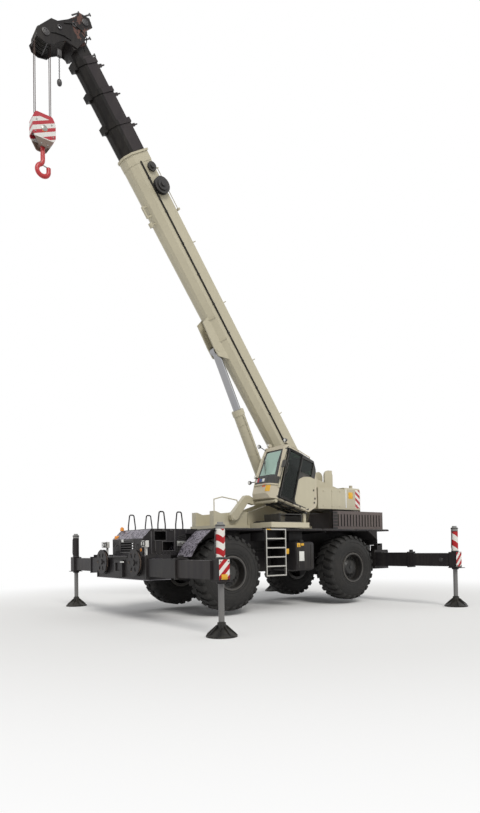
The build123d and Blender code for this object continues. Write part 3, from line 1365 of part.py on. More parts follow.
def window_block(opening):
    """Block that fills one window of the cab."""
    x0, x1, z0, z1, y0, y1 = opening
    with BuildPart() as block:
        with BuildSketch(cab_side_plane(y1)):
            with Locations(((x0 + x1) / 2, (z0 + z1) / 2)):
                Rectangle(x1 - x0, z1 - z0)
        extrude(amount=y1 - y0)
    return block.part


middle_y = (CAB_OUTER_Y + CAB_INNER_Y) / 2
with BuildPart() as cab:
    add(cab_solid(0))
    add(cab_solid(CAB_WALL), mode=Mode.SUBTRACT)
    for opening in [DOOR_OPENING, *WINDOWS]:
        add(window_block(opening), mode=Mode.SUBTRACT)
    # work lamps on the front corners and the rail along the roof's edge
    for along, up, y, height in ((1130, 1480, 1480, 110), (1130, 1480, 770, 110), (1300, 620, 715, 0)):
        with Locations(Plane(origin=cab_point(along, up + height / 2, y), x_dir=CAB_ALONG, z_dir=CAB_UP)):
            Box(24, 24, height + 20)
        with Locations(Plane(origin=cab_point(along + 30, up + height, y), x_dir=CAB_ALONG, z_dir=CAB_UP)):
            Box(90, 90, 80)
    with BuildSketch(cab_side_plane(1550)):
        with BuildLine():
            Polyline((300, 1400), (300, 1475), (1000, 1535), (1000, 1460), (980, 1460), (980, 1513), (320, 1457), (320, 1400), close=True)
        make_face()
    extrude(amount=20)
    # notches and pins of the tilting hinge
    for post_y in CAB_POST_Y:
        with Locations(Pos(CAB_HINGE_X, post_y, CAB_HINGE_Z)):
            Cylinder(75, CAB_POST + 20, rotation=(90, 0, 0), mode=Mode.SUBTRACT)
            Cylinder(CAB_PIN_RADIUS, CAB_POST + 40, rotation=(90, 0, 0))
    # guide rails of the sliding door
    for rail_z, rail_start in ((60, 140), (1405, 340)):
        with BuildSketch(cab_side_plane(CAB_OUTER_Y + DOOR_GAP - PAD_FIT)):
            with Locations(((rail_start + 1200) / 2, rail_z)):
                Rectangle(1200 - rail_start, 20)
        extrude(amount=DOOR_GAP - PAD_FIT)
finish(cab.part, "cab_shell")

with BuildPart() as seat:
    with BuildSketch(cab_side_plane(middle_y)):
        with BuildLine():
            Polyline(
                (180, CAB_WALL),
                (560, CAB_WALL),
                (600, 460),
                (300, 440),
                (180, 1050),
                (60, 1050),
                (120, 430),
                close=True,
            )
        make_face()
    extrude(amount=240, both=True)
finish(seat.part, "operator_seat")

DOOR_LIGHT = [
    (DOOR_X[0] + 50, 110),
    (DOOR_X[1] - 50, 110),
    (DOOR_X[1] - 50, 560),
    (DOOR_X[1] - 65, 1360),
    (DOOR_X[0] + 50, 1360),
]
with BuildPart() as door:
    with BuildSketch(cab_side_plane(CAB_OUTER_Y + DOOR_GAP + 35)):
        with BuildLine():
            Polyline((DOOR_X[0], 40), (DOOR_X[1], 40), (DOOR_X[1], 560), (DOOR_X[1] - 15, 1420), (DOOR_X[0], 1420), close=True)
        make_face()
    extrude(amount=35)
    with BuildSketch(cab_side_plane(CAB_OUTER_Y + DOOR_GAP + 35)):
        with BuildLine():
            Polyline(*DOOR_LIGHT, close=True)
        make_face()
    extrude(amount=35, mode=Mode.SUBTRACT)
finish(door.part, "cab_door")

with BuildPart() as door_glass:
    with BuildSketch(cab_side_plane(CAB_OUTER_Y + DOOR_GAP + 20)):
        with BuildLine():
            Polyline(*DOOR_LIGHT, close=True)
        make_face()
    extrude(amount=6)
finish(door_glass.part, "cab_door_glass")

pane_shell = cab_solid(GLASS_DEPTH) - cab_solid(GLASS_DEPTH + GLASS)
with BuildPart() as glass:
    for opening in WINDOWS:
        add(pane_shell & window_block(opening))
finish(glass.part, "cab_glass")

# bent lifting arm from the turntable's front to the tube under the cab's floor
with BuildPart() as lift_arm:
    with BuildSketch(side_plane(ARM_INNER_Y)) as arm_side:
        with BuildLine():
            Polyline(
                (1480, 2400),
                (1500, 2540),
                (1000, 3080),
                (880, 3080),
                (600, 2940),
                (600, 2840),
                (700, 2830),
                (930, 2880),
                (1310, 2410),
                close=True,
            )
        make_face()
        fillet(arm_side.vertices(), 35)
        with Locations((ARM_PIVOT_X, ARM_PIVOT_Z)):
            Circle(ARM_PIN_RADIUS + RUNNING_GAP, mode=Mode.SUBTRACT)
    extrude(amount=-(ARM_OUTER_Y - ARM_INNER_Y))
    tube_low_y, tube_high_y = ARM_INNER_Y, 1540
    with Locations(Pos(ARM_TUBE_X, (tube_low_y + tube_high_y) / 2, ARM_TUBE_Z)):
        Cylinder(ARM_TUBE_RADIUS, tube_high_y - tube_low_y, rotation=(90, 0, 0))
finish(lift_arm.part, "cab_lift_arm")
print("foot pin", FOOT, "eye", EYE, "luff length", LUFF_LENGTH, "hook axis", HOOK_AXIS)
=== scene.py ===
import bpy
import bmesh
import json
import math
from mathutils import Matrix, Vector


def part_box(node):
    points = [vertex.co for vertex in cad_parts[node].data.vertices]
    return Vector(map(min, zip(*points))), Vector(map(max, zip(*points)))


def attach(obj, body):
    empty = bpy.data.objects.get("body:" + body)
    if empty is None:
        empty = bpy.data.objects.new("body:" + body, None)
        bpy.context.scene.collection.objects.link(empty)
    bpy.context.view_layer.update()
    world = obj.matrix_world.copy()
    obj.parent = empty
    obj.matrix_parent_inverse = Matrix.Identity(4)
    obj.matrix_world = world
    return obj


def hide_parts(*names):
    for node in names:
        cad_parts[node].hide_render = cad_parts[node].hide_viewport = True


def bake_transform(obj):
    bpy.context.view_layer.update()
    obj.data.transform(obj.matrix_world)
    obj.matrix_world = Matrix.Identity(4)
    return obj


# A two-axle rough-terrain crane on its outriggers. Metres, +X to the front, +Y to the cab's side.
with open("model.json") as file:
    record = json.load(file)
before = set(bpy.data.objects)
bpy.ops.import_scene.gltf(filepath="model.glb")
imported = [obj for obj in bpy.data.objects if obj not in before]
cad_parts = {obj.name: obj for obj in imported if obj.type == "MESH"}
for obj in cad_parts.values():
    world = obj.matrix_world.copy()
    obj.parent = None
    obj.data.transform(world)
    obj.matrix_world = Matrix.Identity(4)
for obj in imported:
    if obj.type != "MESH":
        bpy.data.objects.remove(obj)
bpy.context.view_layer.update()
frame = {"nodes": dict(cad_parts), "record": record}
print("frame loaded,", len(frame["nodes"]), "nodes")

studio = {
    "cameraPlace": (10.377, 12.867, 1.678),
    "cameraHeading": 0.9268,       # radians, from the rear towards the cab's side
    "cameraPitch": 0.0223,
    "cameraRoll": -0.0159,
    "lens": 25.361,
    "shift": (0.00054, 0.15782),
    "floorHalf": 90.0,
    "floorColour": "#F2F2F2",
    "floorFade": (7.0, 15.0),      # metres from the slewing axis over which the floor turns plain white
    "skyStrength": 0.44,
    "lamps": {                     # where from, strength, softness in degrees, colour
        "keyLamp": ((0.25, 0.85, 0.75), 1.75, 24, "#FFFDF8"),
        "sideLamp": ((-0.85, 0.35, 0.45), 0.45, 60, "#F8FBFF"),
        "frontLamp": ((0.95, -0.1, 0.35), 0.45, 60, "#FFFFFF"),
    },
}


def linearColour(hexCode, alpha=1.0):
    # sRGB hex to linear light
    values = [int(hexCode[i:i + 2], 16) / 255 for i in (1, 3, 5)]
    return tuple(v / 12.92 if v <= 0.04045 else ((v + 0.055) / 1.055) ** 2.4 for v in values) + (alpha,)


def addNode(tree, kind, settings=None, **links):
    # settings are properties or inputs, links are inputs fed by sockets, _3 is the input numbered 3
    node = tree.nodes.new("ShaderNode" + kind)
    for key, value in (settings or {}).items():
        if isinstance(key, int) or key in node.inputs:
            node.inputs[key].default_value = value
        else:
            setattr(node, key, value)
    for key, socket in links.items():
        tree.links.new(socket, node.inputs[int(key[1:]) if key[0] == "_" else key.replace("_", " ")])
    return node


def newMaterial(name):
    material = bpy.data.materials.new(name)
    material.use_nodes = True
    material.node_tree.nodes.clear()
    return material, material.node_tree


def placeCamera():
    heading, pitch, roll = studio["cameraHeading"], studio["cameraPitch"], studio["cameraRoll"]
    forward = Vector((-math.cos(heading) * math.cos(pitch), -math.sin(heading) * math.cos(pitch), math.sin(pitch)))
    right = forward.cross(Vector((0, 0, 1))).normalized()
    up = right.cross(forward)
    turnedRight = right * math.cos(roll) + up * math.sin(roll)
    turnedUp = up * math.cos(roll) - right * math.sin(roll)
    data = bpy.data.cameras.new("camera")
    data.lens = studio["lens"]
    data.shift_x, data.shift_y = studio["shift"]
    data.clip_end = 400
    camera = bpy.data.objects.new("camera", data)
    camera.matrix_world = Matrix((turnedRight, turnedUp, -forward)).transposed().to_4x4()
    camera.location = studio["cameraPlace"]
    bpy.context.scene.collection.objects.link(camera)
    bpy.context.scene.camera = camera


def seenPlain(tree):
    # 1 where the camera, a mirror or glass looks straight at the surface
    path = addNode(tree, "LightPath")
    glossy = addNode(tree, "Math", {"operation": "MAXIMUM"}, _0=path.outputs["Is Camera Ray"],
            _1=path.outputs["Is Glossy Ray"])
    return addNode(tree, "Math", {"operation": "MAXIMUM"}, _0=glossy.outputs[0],
            _1=path.outputs["Is Transmission Ray"]).outputs[0]


def makeStudio():
    mesh = bpy.data.meshes.new("floor")
    shape = bmesh.new()
    bmesh.ops.create_grid(shape, x_segments=1, y_segments=1, size=studio["floorHalf"])
    shape.to_mesh(mesh)
    shape.free()
    floor = bpy.data.objects.new("floor", mesh)
    bpy.context.scene.collection.objects.link(floor)
    material, tree = newMaterial("studioFloor")
    place = addNode(tree, "TexCoord")
    far = addNode(tree, "VectorMath", {"operation": "LENGTH"}, _0=place.outputs["Object"])
    fade = addNode(tree, "MapRange", {"interpolation_type": "SMOOTHSTEP", 1: studio["floorFade"][0],
            2: studio["floorFade"][1]}, _0=far.outputs["Value"])
    pale = addNode(tree, "BsdfDiffuse", {"Color": linearColour(studio["floorColour"])})
    share = addNode(tree, "Math", {"operation": "MULTIPLY"}, _0=seenPlain(tree), _1=fade.outputs[0])
    white = addNode(tree, "Emission", {"Color": (1, 1, 1, 1), "Strength": 1.0})
    mixed = addNode(tree, "MixShader", {}, _0=share.outputs[0], _1=pale.outputs[0], _2=white.outputs[0])
    addNode(tree, "OutputMaterial", {}, Surface=mixed.outputs[0])
    mesh.materials.append(material)

    world = bpy.data.worlds.new("studio")
    bpy.context.scene.world = world
    world.use_nodes = True
    tree = world.node_tree
    tree.nodes.clear()
    sky = addNode(tree, "Background", {"Color": (1, 1, 1, 1), "Strength": studio["skyStrength"]})
    white = addNode(tree, "Background", {"Color": (1, 1, 1, 1), "Strength": 1.0})
    mixed = addNode(tree, "MixShader", {}, _0=seenPlain(tree), _1=sky.outputs[0], _2=white.outputs[0])
    addNode(tree, "OutputWorld", {}, Surface=mixed.outputs[0])

    for name, (fromWhere, strength, softness, colour) in studio["lamps"].items():
        data = bpy.data.lights.new(name, "SUN")
        data.energy, data.angle, data.color = strength, math.radians(softness), linearColour(colour)[:3]
        lamp = bpy.data.objects.new(name, data)
        lamp.rotation_mode = "QUATERNION"
        lamp.rotation_quaternion = (-Vector(fromWhere)).to_track_quat("-Z", "Y")
        bpy.context.scene.collection.objects.link(lamp)


placeCamera()
makeStudio()
print("camera and studio ready")


# places shared by several pieces, all in metres
crane = {
    "axleX": (2.09, -2.25), "wheelY": 1.2, "axleZ": 1.055,
    "boomFoot": (-1.67, 0, 3.5), "boomAngle": 55,
    "cabHinge": (-0.46, 0, 2.62), "cabTilt": 16,
    "jackY": 3.95, "jackX": {"front_left": 4.14, "front_right": 3.94, "rear_left": -3.6, "rear_right": -3.8},
}
boomTurn = Matrix.Rotation(math.radians(-crane["boomAngle"]), 4, "Y")
cabTurn = Matrix.Rotation(math.radians(-crane["cabTilt"]), 4, "Y")


def boomPoint(s, n=0.0, y=0.0):
    # s along the boom from its foot pin, n above its centre line
    return Vector(crane["boomFoot"]) + boomTurn @ Vector((s, y, n))


def cabPoint(along, up, y=0.0):
    return Vector(crane["cabHinge"]) + cabTurn @ Vector((along, y, up))


def cabPath(*places):
    return [cabPoint(*place) for place in places]


def boomPath(*places):
    return [boomPoint(*place) for place in places]


# shapes shared by the pieces
def addBlock(shape, centre, size, turn=None, rounding=0.0):
    place = Matrix.Translation(centre) @ (turn or Matrix()) @ Matrix.Diagonal((*size, 1))
    made = bmesh.ops.create_cube(shape, size=1.0, matrix=place)
    if rounding:
        edges = list({e for v in made["verts"] for e in v.link_edges})
        bmesh.ops.bevel(shape, geom=edges, offset=rounding, offset_type="OFFSET", segments=2, profile=0.5,
                affect="EDGES", material=-1)


def addBar(shape, start, end, radius, sides=12, endRadius=None):
    start, end = Vector(start), Vector(end)
    turn = (end - start).to_track_quat("Z", "Y").to_matrix().to_4x4()
    bmesh.ops.create_cone(shape, cap_ends=True, segments=sides, radius1=radius,
            radius2=radius if endRadius is None else endRadius,
                          depth=(end - start).length, matrix=Matrix.Translation((start + end) / 2) @ turn)


def addTube(shape, points, radius, sides=10):
    # bent tube: a ring pushed from point to point and mitred at each bend
    points = [Vector(p) for p in points]
    first = (points[1] - points[0]).normalized()
    ring = bmesh.ops.create_circle(shape, cap_ends=True, segments=sides, radius=radius,
                                   matrix=Matrix.Translation(points[0]) @ first.to_track_quat("Z",
                                           "Y").to_matrix().to_4x4())["verts"]
    edges = list({e for v in ring for e in v.link_edges if all(w in ring for w in e.verts)})
    before = first
    for index in range(1, len(points)):
        after = (points[index + 1] - points[index]).normalized() if index + 1 < len(points) else before
        made = bmesh.ops.extrude_edge_only(shape, edges=edges)["geom"]
        ring = [v for v in made if isinstance(v, bmesh.types.BMVert)]
        edges = [e for e in made if isinstance(e, bmesh.types.BMEdge)]
        cut = (before + after).normalized()
        for v in ring:
            along = (points[index] - v.co).dot(cut) / before.dot(cut)
            v.co += before * along
        before = after
    bmesh.ops.contextual_create(shape, geom=edges)


def addTurned(shape, profile, centre, axis, steps=48):
    # profile of (along, out) pairs turned once round an axis
    frameTurn = Vector(axis).to_track_quat("Z", "Y").to_matrix().to_4x4()
    place = Matrix.Translation(centre) @ frameTurn
    verts = [shape.verts.new(place @ Vector((out, 0, along))) for along, out in profile]
    edges = [shape.edges.new(pair) for pair in zip(verts, verts[1:])]
    bmesh.ops.spin(shape, geom=verts + edges, cent=centre, axis=Vector(axis), angle=math.tau, steps=steps,
            use_merge=True)


def finishPiece(name, shape, material, body, smoothBelow=35, merge=0.0):
    if merge:
        bmesh.ops.remove_doubles(shape, verts=shape.verts, dist=merge)
    bmesh.ops.recalc_face_normals(shape, faces=shape.faces)
    mesh = bpy.data.meshes.new(name)
    shape.to_mesh(mesh)
    shape.free()
    mesh.shade_smooth()
    mesh.set_sharp_from_angle(angle=math.radians(smoothBelow))
    mesh.materials.append(material)
    piece = bpy.data.objects.new(name, mesh)
    bpy.context.scene.collection.objects.link(piece)
    if body:
        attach(piece, body)
    return piece


# patterns shared by the finishes
def insideBox(tree, place, low, high):
    # 1 inside a box of the Object coordinates
    parts = addNode(tree, "SeparateXYZ", {}, _0=place)
    mask = None
    for axis in range(3):
        if low[axis] is None:
            continue
        near = addNode(tree, "Math", {"operation": "COMPARE", 1: (low[axis] + high[axis]) / 2,
                2: (high[axis] - low[axis]) / 2}, _0=parts.outputs[axis]).outputs[0]
        mask = near if mask is None else addNode(tree, "Math", {"operation": "MULTIPLY"}, _0=mask, _1=near).outputs[0]
    return mask


def stripes(tree, place, direction, pitch, share=0.5, start=0.0):
    # 1 on bars that cross the direction, one bar each pitch
    along = addNode(tree, "VectorMath", {"operation": "DOT_PRODUCT",
            1: tuple(Vector(direction).normalized() / pitch)}, _0=place)
    moved = addNode(tree, "Math", {"operation": "ADD", 1: start}, _0=along.outputs["Value"])
    phase = addNode(tree, "Math", {"operation": "FRACT"}, _0=moved.outputs[0])
    return addNode(tree, "Math", {"operation": "LESS_THAN", 1: share}, _0=phase.outputs[0]).outputs[0]


def both(tree, one, other):
    return addNode(tree, "Math", {"operation": "MULTIPLY"}, _0=one, _1=other).outputs[0]


def painted(tree, colour, mask, over):
    # a second colour laid over the first where the mask is 1
    return addNode(tree, "Mix", {"data_type": "RGBA", 7: linearColour(over)}, _0=mask, _6=colour).outputs[2]


# finishes
def sprayedEnamel(name, colour, roughness=0.35, dust="#8C8676", dustAmount=0.12, metallic=0.0, marks=None,
                  peel=0.04, gloss=0.5):
    # two-pack enamel sprayed on steel plate: smooth, a little orange peel, dust in broad clouds and faint runs
    material, tree = newMaterial(name)
    place = addNode(tree, "TexCoord").outputs["Object"]
    clouds = addNode(tree, "TexNoise", {"Scale": 0.9, "Detail": 6.0, "Roughness": 0.6}, Vector=place)
    runPlace = addNode(tree, "Mapping", {"Scale": (11.0, 11.0, 0.9)}, Vector=place)
    runs = addNode(tree, "TexNoise", {"Scale": 1.0, "Detail": 4.0}, Vector=runPlace.outputs[0])
    grimePart = addNode(tree, "Math", {"operation": "MULTIPLY"}, _0=clouds.outputs[0], _1=runs.outputs[0])
    amount = addNode(tree, "MapRange", {1: 0.18, 2: 0.42, 3: 0.0, 4: dustAmount}, _0=grimePart.outputs[0])
    shade = addNode(tree, "MapRange", {1: 0.35, 2: 0.65, 3: 0.94, 4: 1.05}, _0=clouds.outputs[0])
    coat = addNode(tree, "VectorMath", {"operation": "SCALE", 0: linearColour(colour)[:3]},
            _3=shade.outputs[0]).outputs[0]
    if marks:
        coat = marks(tree, place, coat)
    tint = addNode(tree, "Mix", {"data_type": "RGBA", 7: linearColour(dust)}, _0=amount.outputs[0], _6=coat)
    peelPart = addNode(tree, "TexNoise", {"Scale": 140.0, "Detail": 2.0}, Vector=place)
    bump = addNode(tree, "Bump", {"Strength": peel, "Distance": 0.002}, Height=peelPart.outputs[0])
    rough = addNode(tree, "MapRange", {1: 0.3, 2: 0.7, 3: roughness * 0.85, 4: roughness * 1.25},
            _0=clouds.outputs[0])
    shader = addNode(tree, "BsdfPrincipled", {"Metallic": metallic, "IOR": 1.5, "Specular IOR Level": gloss},
                     Base_Color=tint.outputs[2], Roughness=rough.outputs[0], Normal=bump.outputs[0])
    addNode(tree, "OutputMaterial", {}, Surface=shader.outputs[0])
    return material


def vulcanisedRubber(name, colour="#131211", dust="#2B2825"):
    # carbon-black rubber: matt, with pale dust lying in its hollows and a fine grain
    material, tree = newMaterial(name)
    place = addNode(tree, "TexCoord").outputs["Object"]
    clouds = addNode(tree, "TexNoise", {"Scale": 5.0, "Detail": 7.0, "Roughness": 0.65}, Vector=place)
    grain = addNode(tree, "TexNoise", {"Scale": 120.0, "Detail": 3.0}, Vector=place)
    amount = addNode(tree, "MapRange", {1: 0.42, 2: 0.72, 3: 0.05, 4: 0.55}, _0=clouds.outputs[0])
    tint = addNode(tree, "Mix", {"data_type": "RGBA", 6: linearColour(colour), 7: linearColour(dust)},
            _0=amount.outputs[0])
    bump = addNode(tree, "Bump", {"Strength": 0.35, "Distance": 0.003}, Height=grain.outputs[0])
    shader = addNode(tree, "BsdfPrincipled", {"Roughness": 0.82, "IOR": 1.52}, Base_Color=tint.outputs[2],
            Normal=bump.outputs[0])
    addNode(tree, "OutputMaterial", {}, Surface=shader.outputs[0])
    return material


def tintedGlass(name, tint, dark, clearShare):
    # laminated window glass: tinted green, glossy, with a black printed border round the windscreen and a painted
    # reflection: the windscreen coloured pale for the surroundings it mirrors
    material, tree = newMaterial(name)
    place = addNode(tree, "TexCoord").outputs["Object"]
    haze = addNode(tree, "TexNoise", {"Scale": 2.0, "Detail": 5.0}, Vector=place)
    rough = addNode(tree, "MapRange", {1: 0.3, 2: 0.7, 3: 0.03, 4: 0.09}, _0=haze.outputs[0])
    front = insideBox(tree, cabPlace(tree, place), (1.1, 0.845, 0.645), (1.5, 1.415, 1.335))
    screen = insideBox(tree, cabPlace(tree, place), (1.1, 0.7, 0.5), (1.5, 1.6, 1.5))
    border = addNode(tree, "Math", {"operation": "SUBTRACT"}, _0=screen, _1=front).outputs[0]
    # painted reflection: the windscreen's pale base colour
    shade = addNode(tree, "Mix", {"data_type": "RGBA", 6: linearColour(dark), 7: linearColour("#A6C3B7")}, _0=front).outputs[2]
    pane = addNode(tree, "BsdfPrincipled", {"IOR": 1.5, "Specular IOR Level": 0.6}, Roughness=rough.outputs[0],
                   Base_Color=painted(tree, shade, border, "#0E0E0E"))
    clear = addNode(tree, "BsdfTransparent", {"Color": linearColour(tint)})
    windscreenReflectionShare = addNode(tree, "MapRange", {3: clearShare, 4: 0.22}, _0=front)      # painted reflection: the windscreen lets less through, so its pale colour stands for the surroundings it reflects
    share = addNode(tree, "Mix", {"data_type": "FLOAT", 3: 0.0}, _0=border, _2=windscreenReflectionShare.outputs[0])
    mixed = addNode(tree, "MixShader", {}, _0=share.outputs[0], _1=pane.outputs[0], _2=clear.outputs[0])
    addNode(tree, "OutputMaterial", {}, Surface=mixed.outputs[0])
    return material


def jackMarks(tree, place, coat):
    # red and white bars on the barrels and end plates, and grey caps
    # the front ones are chevrons, the far front barrel stays dark
    parts = addNode(tree, "SeparateXYZ", {}, _0=place)
    offset = addNode(tree, "Math", {"operation": "SUBTRACT", 1: crane["jackX"]["front_left"]},
            _0=parts.outputs[0]).outputs[0]
    spread = addNode(tree, "Math", {"operation": "ABSOLUTE"}, _0=offset).outputs[0]
    folded = addNode(tree, "CombineXYZ", {}, _0=spread, _2=parts.outputs[2]).outputs[0]
    for low, high, chart, direction, pitch in (((3.9, 3.0, 1.50), (4.4, 4.2, 2.06), folded, (-0.6, 0, 0.8), 0.20),
                                               ((-4.2, 3.0, 1.50), (-3.2, 4.2, 2.02), place, (-0.48, 0.36, 0.8),
                                                       0.26),
                                               ((-4.2, -4.2, 1.50), (-3.2, -3.0, 2.02), place, (-0.48, 0.36, 0.8),
                                                       0.26)):
        barrel = insideBox(tree, place, low, high)
        coat = painted(tree, coat, barrel, "#D9D6D0")
        coat = painted(tree, coat, both(tree, barrel, stripes(tree, chart, direction, pitch, 0.5)), "#A3161F")
    coat = painted(tree, coat, insideBox(tree, place, (None, None, 2.04), (None, None, 2.3)), "#8B8B8A")
    for side in (-1, 1):
        plate = insideBox(tree, place, (None, side * 4.075 - 0.009, 1.08), (None, side * 4.075 + 0.009, 1.46))
        coat = painted(tree, coat, plate, "#D9D6D0")
        coat = painted(tree, coat, both(tree, plate, stripes(tree, place, (0.7, 0.0, 0.7), 0.15, 0.5)), "#A3161F")
    return coat


def blockMarks(tree, place, coat):
    # red bars on both cheeks, red lobes at the top, a brown crosshead below
    cheeks = insideBox(tree, place, (None, None, 11.0), (None, None, 11.46))
    coat = painted(tree, coat, both(tree, cheeks, stripes(tree, place, (0.45, 0.0, 0.9), 0.17, 0.45, 0.3)), "#A8182C")
    coat = painted(tree, coat, insideBox(tree, place, (None, None, 11.46), (None, None, 11.7)), "#A8182C")
    return painted(tree, coat, insideBox(tree, place, (None, None, 10.7), (None, None, 10.98)), "#6B5A50")


def cabPlace(tree, place):
    # the cab's own frame: along, across, up from its hinge
    return addNode(tree, "Mapping", {"vector_type": "TEXTURE", "Location": crane["cabHinge"],
            "Rotation": (0, -math.radians(crane["cabTilt"]), 0)}, Vector=place).outputs[0]


def cabBandsAndInsideShade(tree, place, coat):
    # black band under the windscreen, black side from the door back, and painted shade inside: the cab's inner walls
    # painted near-black
    turned = cabPlace(tree, place)
    for low, high in cabShell["blackBandsAndInsideShade"]:
        coat = painted(tree, coat, insideBox(tree, turned, low, high), "#161616")
    return coat


def beamMarks(tree, place, coat):
    # paler line along the lower edge of the front box and beams
    return painted(tree, coat, insideBox(tree, place, (3.6, None, 0.96), (4.6, None, 0.985)), "#77757A")


def boomShadeAndWear(tree, place, coat):
    # painted shade: the underside below the fold of the inner sections is painted darker
    turned = addNode(tree, "Mapping", {"vector_type": "TEXTURE", "Location": crane["boomFoot"],
            "Rotation": (0, -math.radians(crane["boomAngle"]), 0)}, Vector=place).outputs[0]
    # painted shade below the fold
    coat = painted(tree, coat, insideBox(tree, turned, (None, None, -3.0), (None, None, -0.03)), "#120F0E")
    coat = painted(tree, coat, insideBox(tree, turned, (12.0, None, -1.2), (13.2, None, 0.8)), "#1C191A")
    worn = addNode(tree, "TexNoise", {"Scale": 9.0, "Detail": 5.0}, Vector=place)
    patch = addNode(tree, "Math", {"operation": "GREATER_THAN", 1: 0.5}, _0=worn.outputs[0]).outputs[0]
    headTop = insideBox(tree, turned, (12.2, -0.27, 0.0), (12.85, 0.27, 0.5))
    return painted(tree, coat, both(tree, patch, headTop), "#5A4039")


def tableShadeUnderCab(tree, place, coat):
    # painted shade: the box under the cab painted near-black where it lies in shade
    return painted(tree, coat, insideBox(tree, place, (-0.32, 0.82, 2.334), (0.50, 1.48, 2.6)), "#1B1A19")


def weightMarks(tree, place, coat):
    # red and white warning bars at the rear corners of the counterweight
    corner = insideBox(tree, place, (-2.92, -1.3, 2.80), (-2.70, 1.3, 3.345))
    coat = painted(tree, coat, corner, "#D9D6D0")
    return painted(tree, coat, both(tree, corner, stripes(tree, place, (-0.6, 0.0, 0.8), 0.15, 0.5)), "#A3161F")


def floatMarks(tree, place, coat):
    # bright rod above the black float
    return painted(tree, coat, insideBox(tree, place, (None, None, 0.285), (None, None, 1.4)), "#6E6D6D")


def rimMarks(tree, place, coat):
    # paler lip ring and a dark hub, told apart by the distance from the axle
    parts = addNode(tree, "SeparateXYZ", {}, _0=place)
    middle, half = sum(crane["axleX"]) / 2, (crane["axleX"][0] - crane["axleX"][1]) / 2
    fromMiddle = addNode(tree, "Math", {"operation": "SUBTRACT", 1: middle}, _0=parts.outputs[0])
    folded = addNode(tree, "Math", {"operation": "ABSOLUTE"}, _0=fromMiddle.outputs[0])
    across = addNode(tree, "Math", {"operation": "SUBTRACT", 1: half}, _0=folded.outputs[0])
    up = addNode(tree, "Math", {"operation": "SUBTRACT", 1: crane["axleZ"]}, _0=parts.outputs[2])
    flat = addNode(tree, "CombineXYZ", {}, _0=across.outputs[0], _2=up.outputs[0])
    reach = addNode(tree, "VectorMath", {"operation": "LENGTH"}, _0=flat.outputs[0]).outputs["Value"]
    lip = addNode(tree, "Math", {"operation": "GREATER_THAN", 1: 0.398}, _0=reach).outputs[0]
    hub = addNode(tree, "Math", {"operation": "LESS_THAN", 1: 0.242}, _0=reach).outputs[0]
    return painted(tree, painted(tree, coat, lip, "#45423F"), hub, "#1E1D1C")


def hoodTonesAndGapShade(tree, place, coat):
    # painted shade in the gaps between the engine hood's louvres, and a dark slatted part at its front with painted
    # shade between the slats
    hood = engineHood
    for side in (-1, 1):
        band = insideBox(tree, place, (hood["louvreX"][0], side * hood["halfWidth"] - 0.012, hood["louvreZ"][0]),
                         (hood["louvreX"][1], side * hood["halfWidth"] + 0.004, hood["louvreZ"][1]))
        louvreGapShade = stripes(tree, place, (1, 0, 0), hood["louvrePitch"], 0.6, hood["louvrePhase"])
        coat = painted(tree, coat, both(tree, band, louvreGapShade), "#1A1817")
    radiator = insideBox(tree, place, (-4.3, -1.0, 1.4), (-3.3, 1.0, 2.11))
    coat = painted(tree, coat, radiator, "#201E1E")
    slatted = insideBox(tree, place, (-1.75, -1.5, 1.5), (-1.5, 1.5, 2.8))
    coat = painted(tree, coat, slatted, "#3A3030")
    # painted shade between the slats
    return painted(tree, coat, both(tree, slatted, stripes(tree, place, (0, 0, 1), 0.09, 0.6)), "#141212")


def antiSlip(tree, place, coat):
    # gritted pale coat on the faces that are trodden on: specks of grit, drawn about 12 mm across so that they show
    facing = addNode(tree, "SeparateXYZ", {}, _0=addNode(tree, "TexCoord").outputs["Normal"])
    upward = addNode(tree, "Math", {"operation": "GREATER_THAN", 1: 0.35}, _0=facing.outputs[2]).outputs[0]
    slopes = insideBox(tree, place, (2.7, -1.6, 1.4), (4.3, 1.6, 2.145))
    grit = addNode(tree, "TexNoise", {"Scale": 85.0, "Detail": 2.0}, Vector=place)
    speck = addNode(tree, "Math", {"operation": "GREATER_THAN", 1: 0.52}, _0=grit.outputs[0]).outputs[0]
    treads = both(tree, upward, slopes)
    coat = painted(tree, coat, treads, "#6F6B75")
    coat = painted(tree, coat, both(tree, treads, speck), "#A39EA9")
    worn = addNode(tree, "TexNoise", {"Scale": 16.0, "Detail": 5.0}, Vector=place)
    patch = addNode(tree, "Math", {"operation": "GREATER_THAN", 1: 0.54}, _0=worn.outputs[0]).outputs[0]
    return painted(tree, coat, both(tree, treads, patch), "#4A4750")


cabShell = {
    # low and high corners along, across and up the cab's own frame
    "blackBandsAndInsideShade": [
        ((1.16, 0.72, 0.40), (1.40, 1.62, 0.60)),      # band under the windscreen
        ((0.02, 1.572, 0.03), (1.21, 1.62, 1.43)),     # side round the door and the quarter pane
        ((0.06, 0.712, 0.02), (1.14, 1.568, 1.385)),   # painted shade: the cab's inside walls painted near-black
        ((-0.02, 0.72, 1.38), (1.20, 1.60, 1.405)),
    ],
}
engineHood = {"louvreX": (-3.68, -1.72), "louvreZ": (2.245, 2.595), "louvrePitch": 0.128, "louvrePhase": 0.25,
        "halfWidth": 1.42}

def carrierMarks(tree, place, coat):
    return beamMarks(tree, place, antiSlip(tree, place, coat))


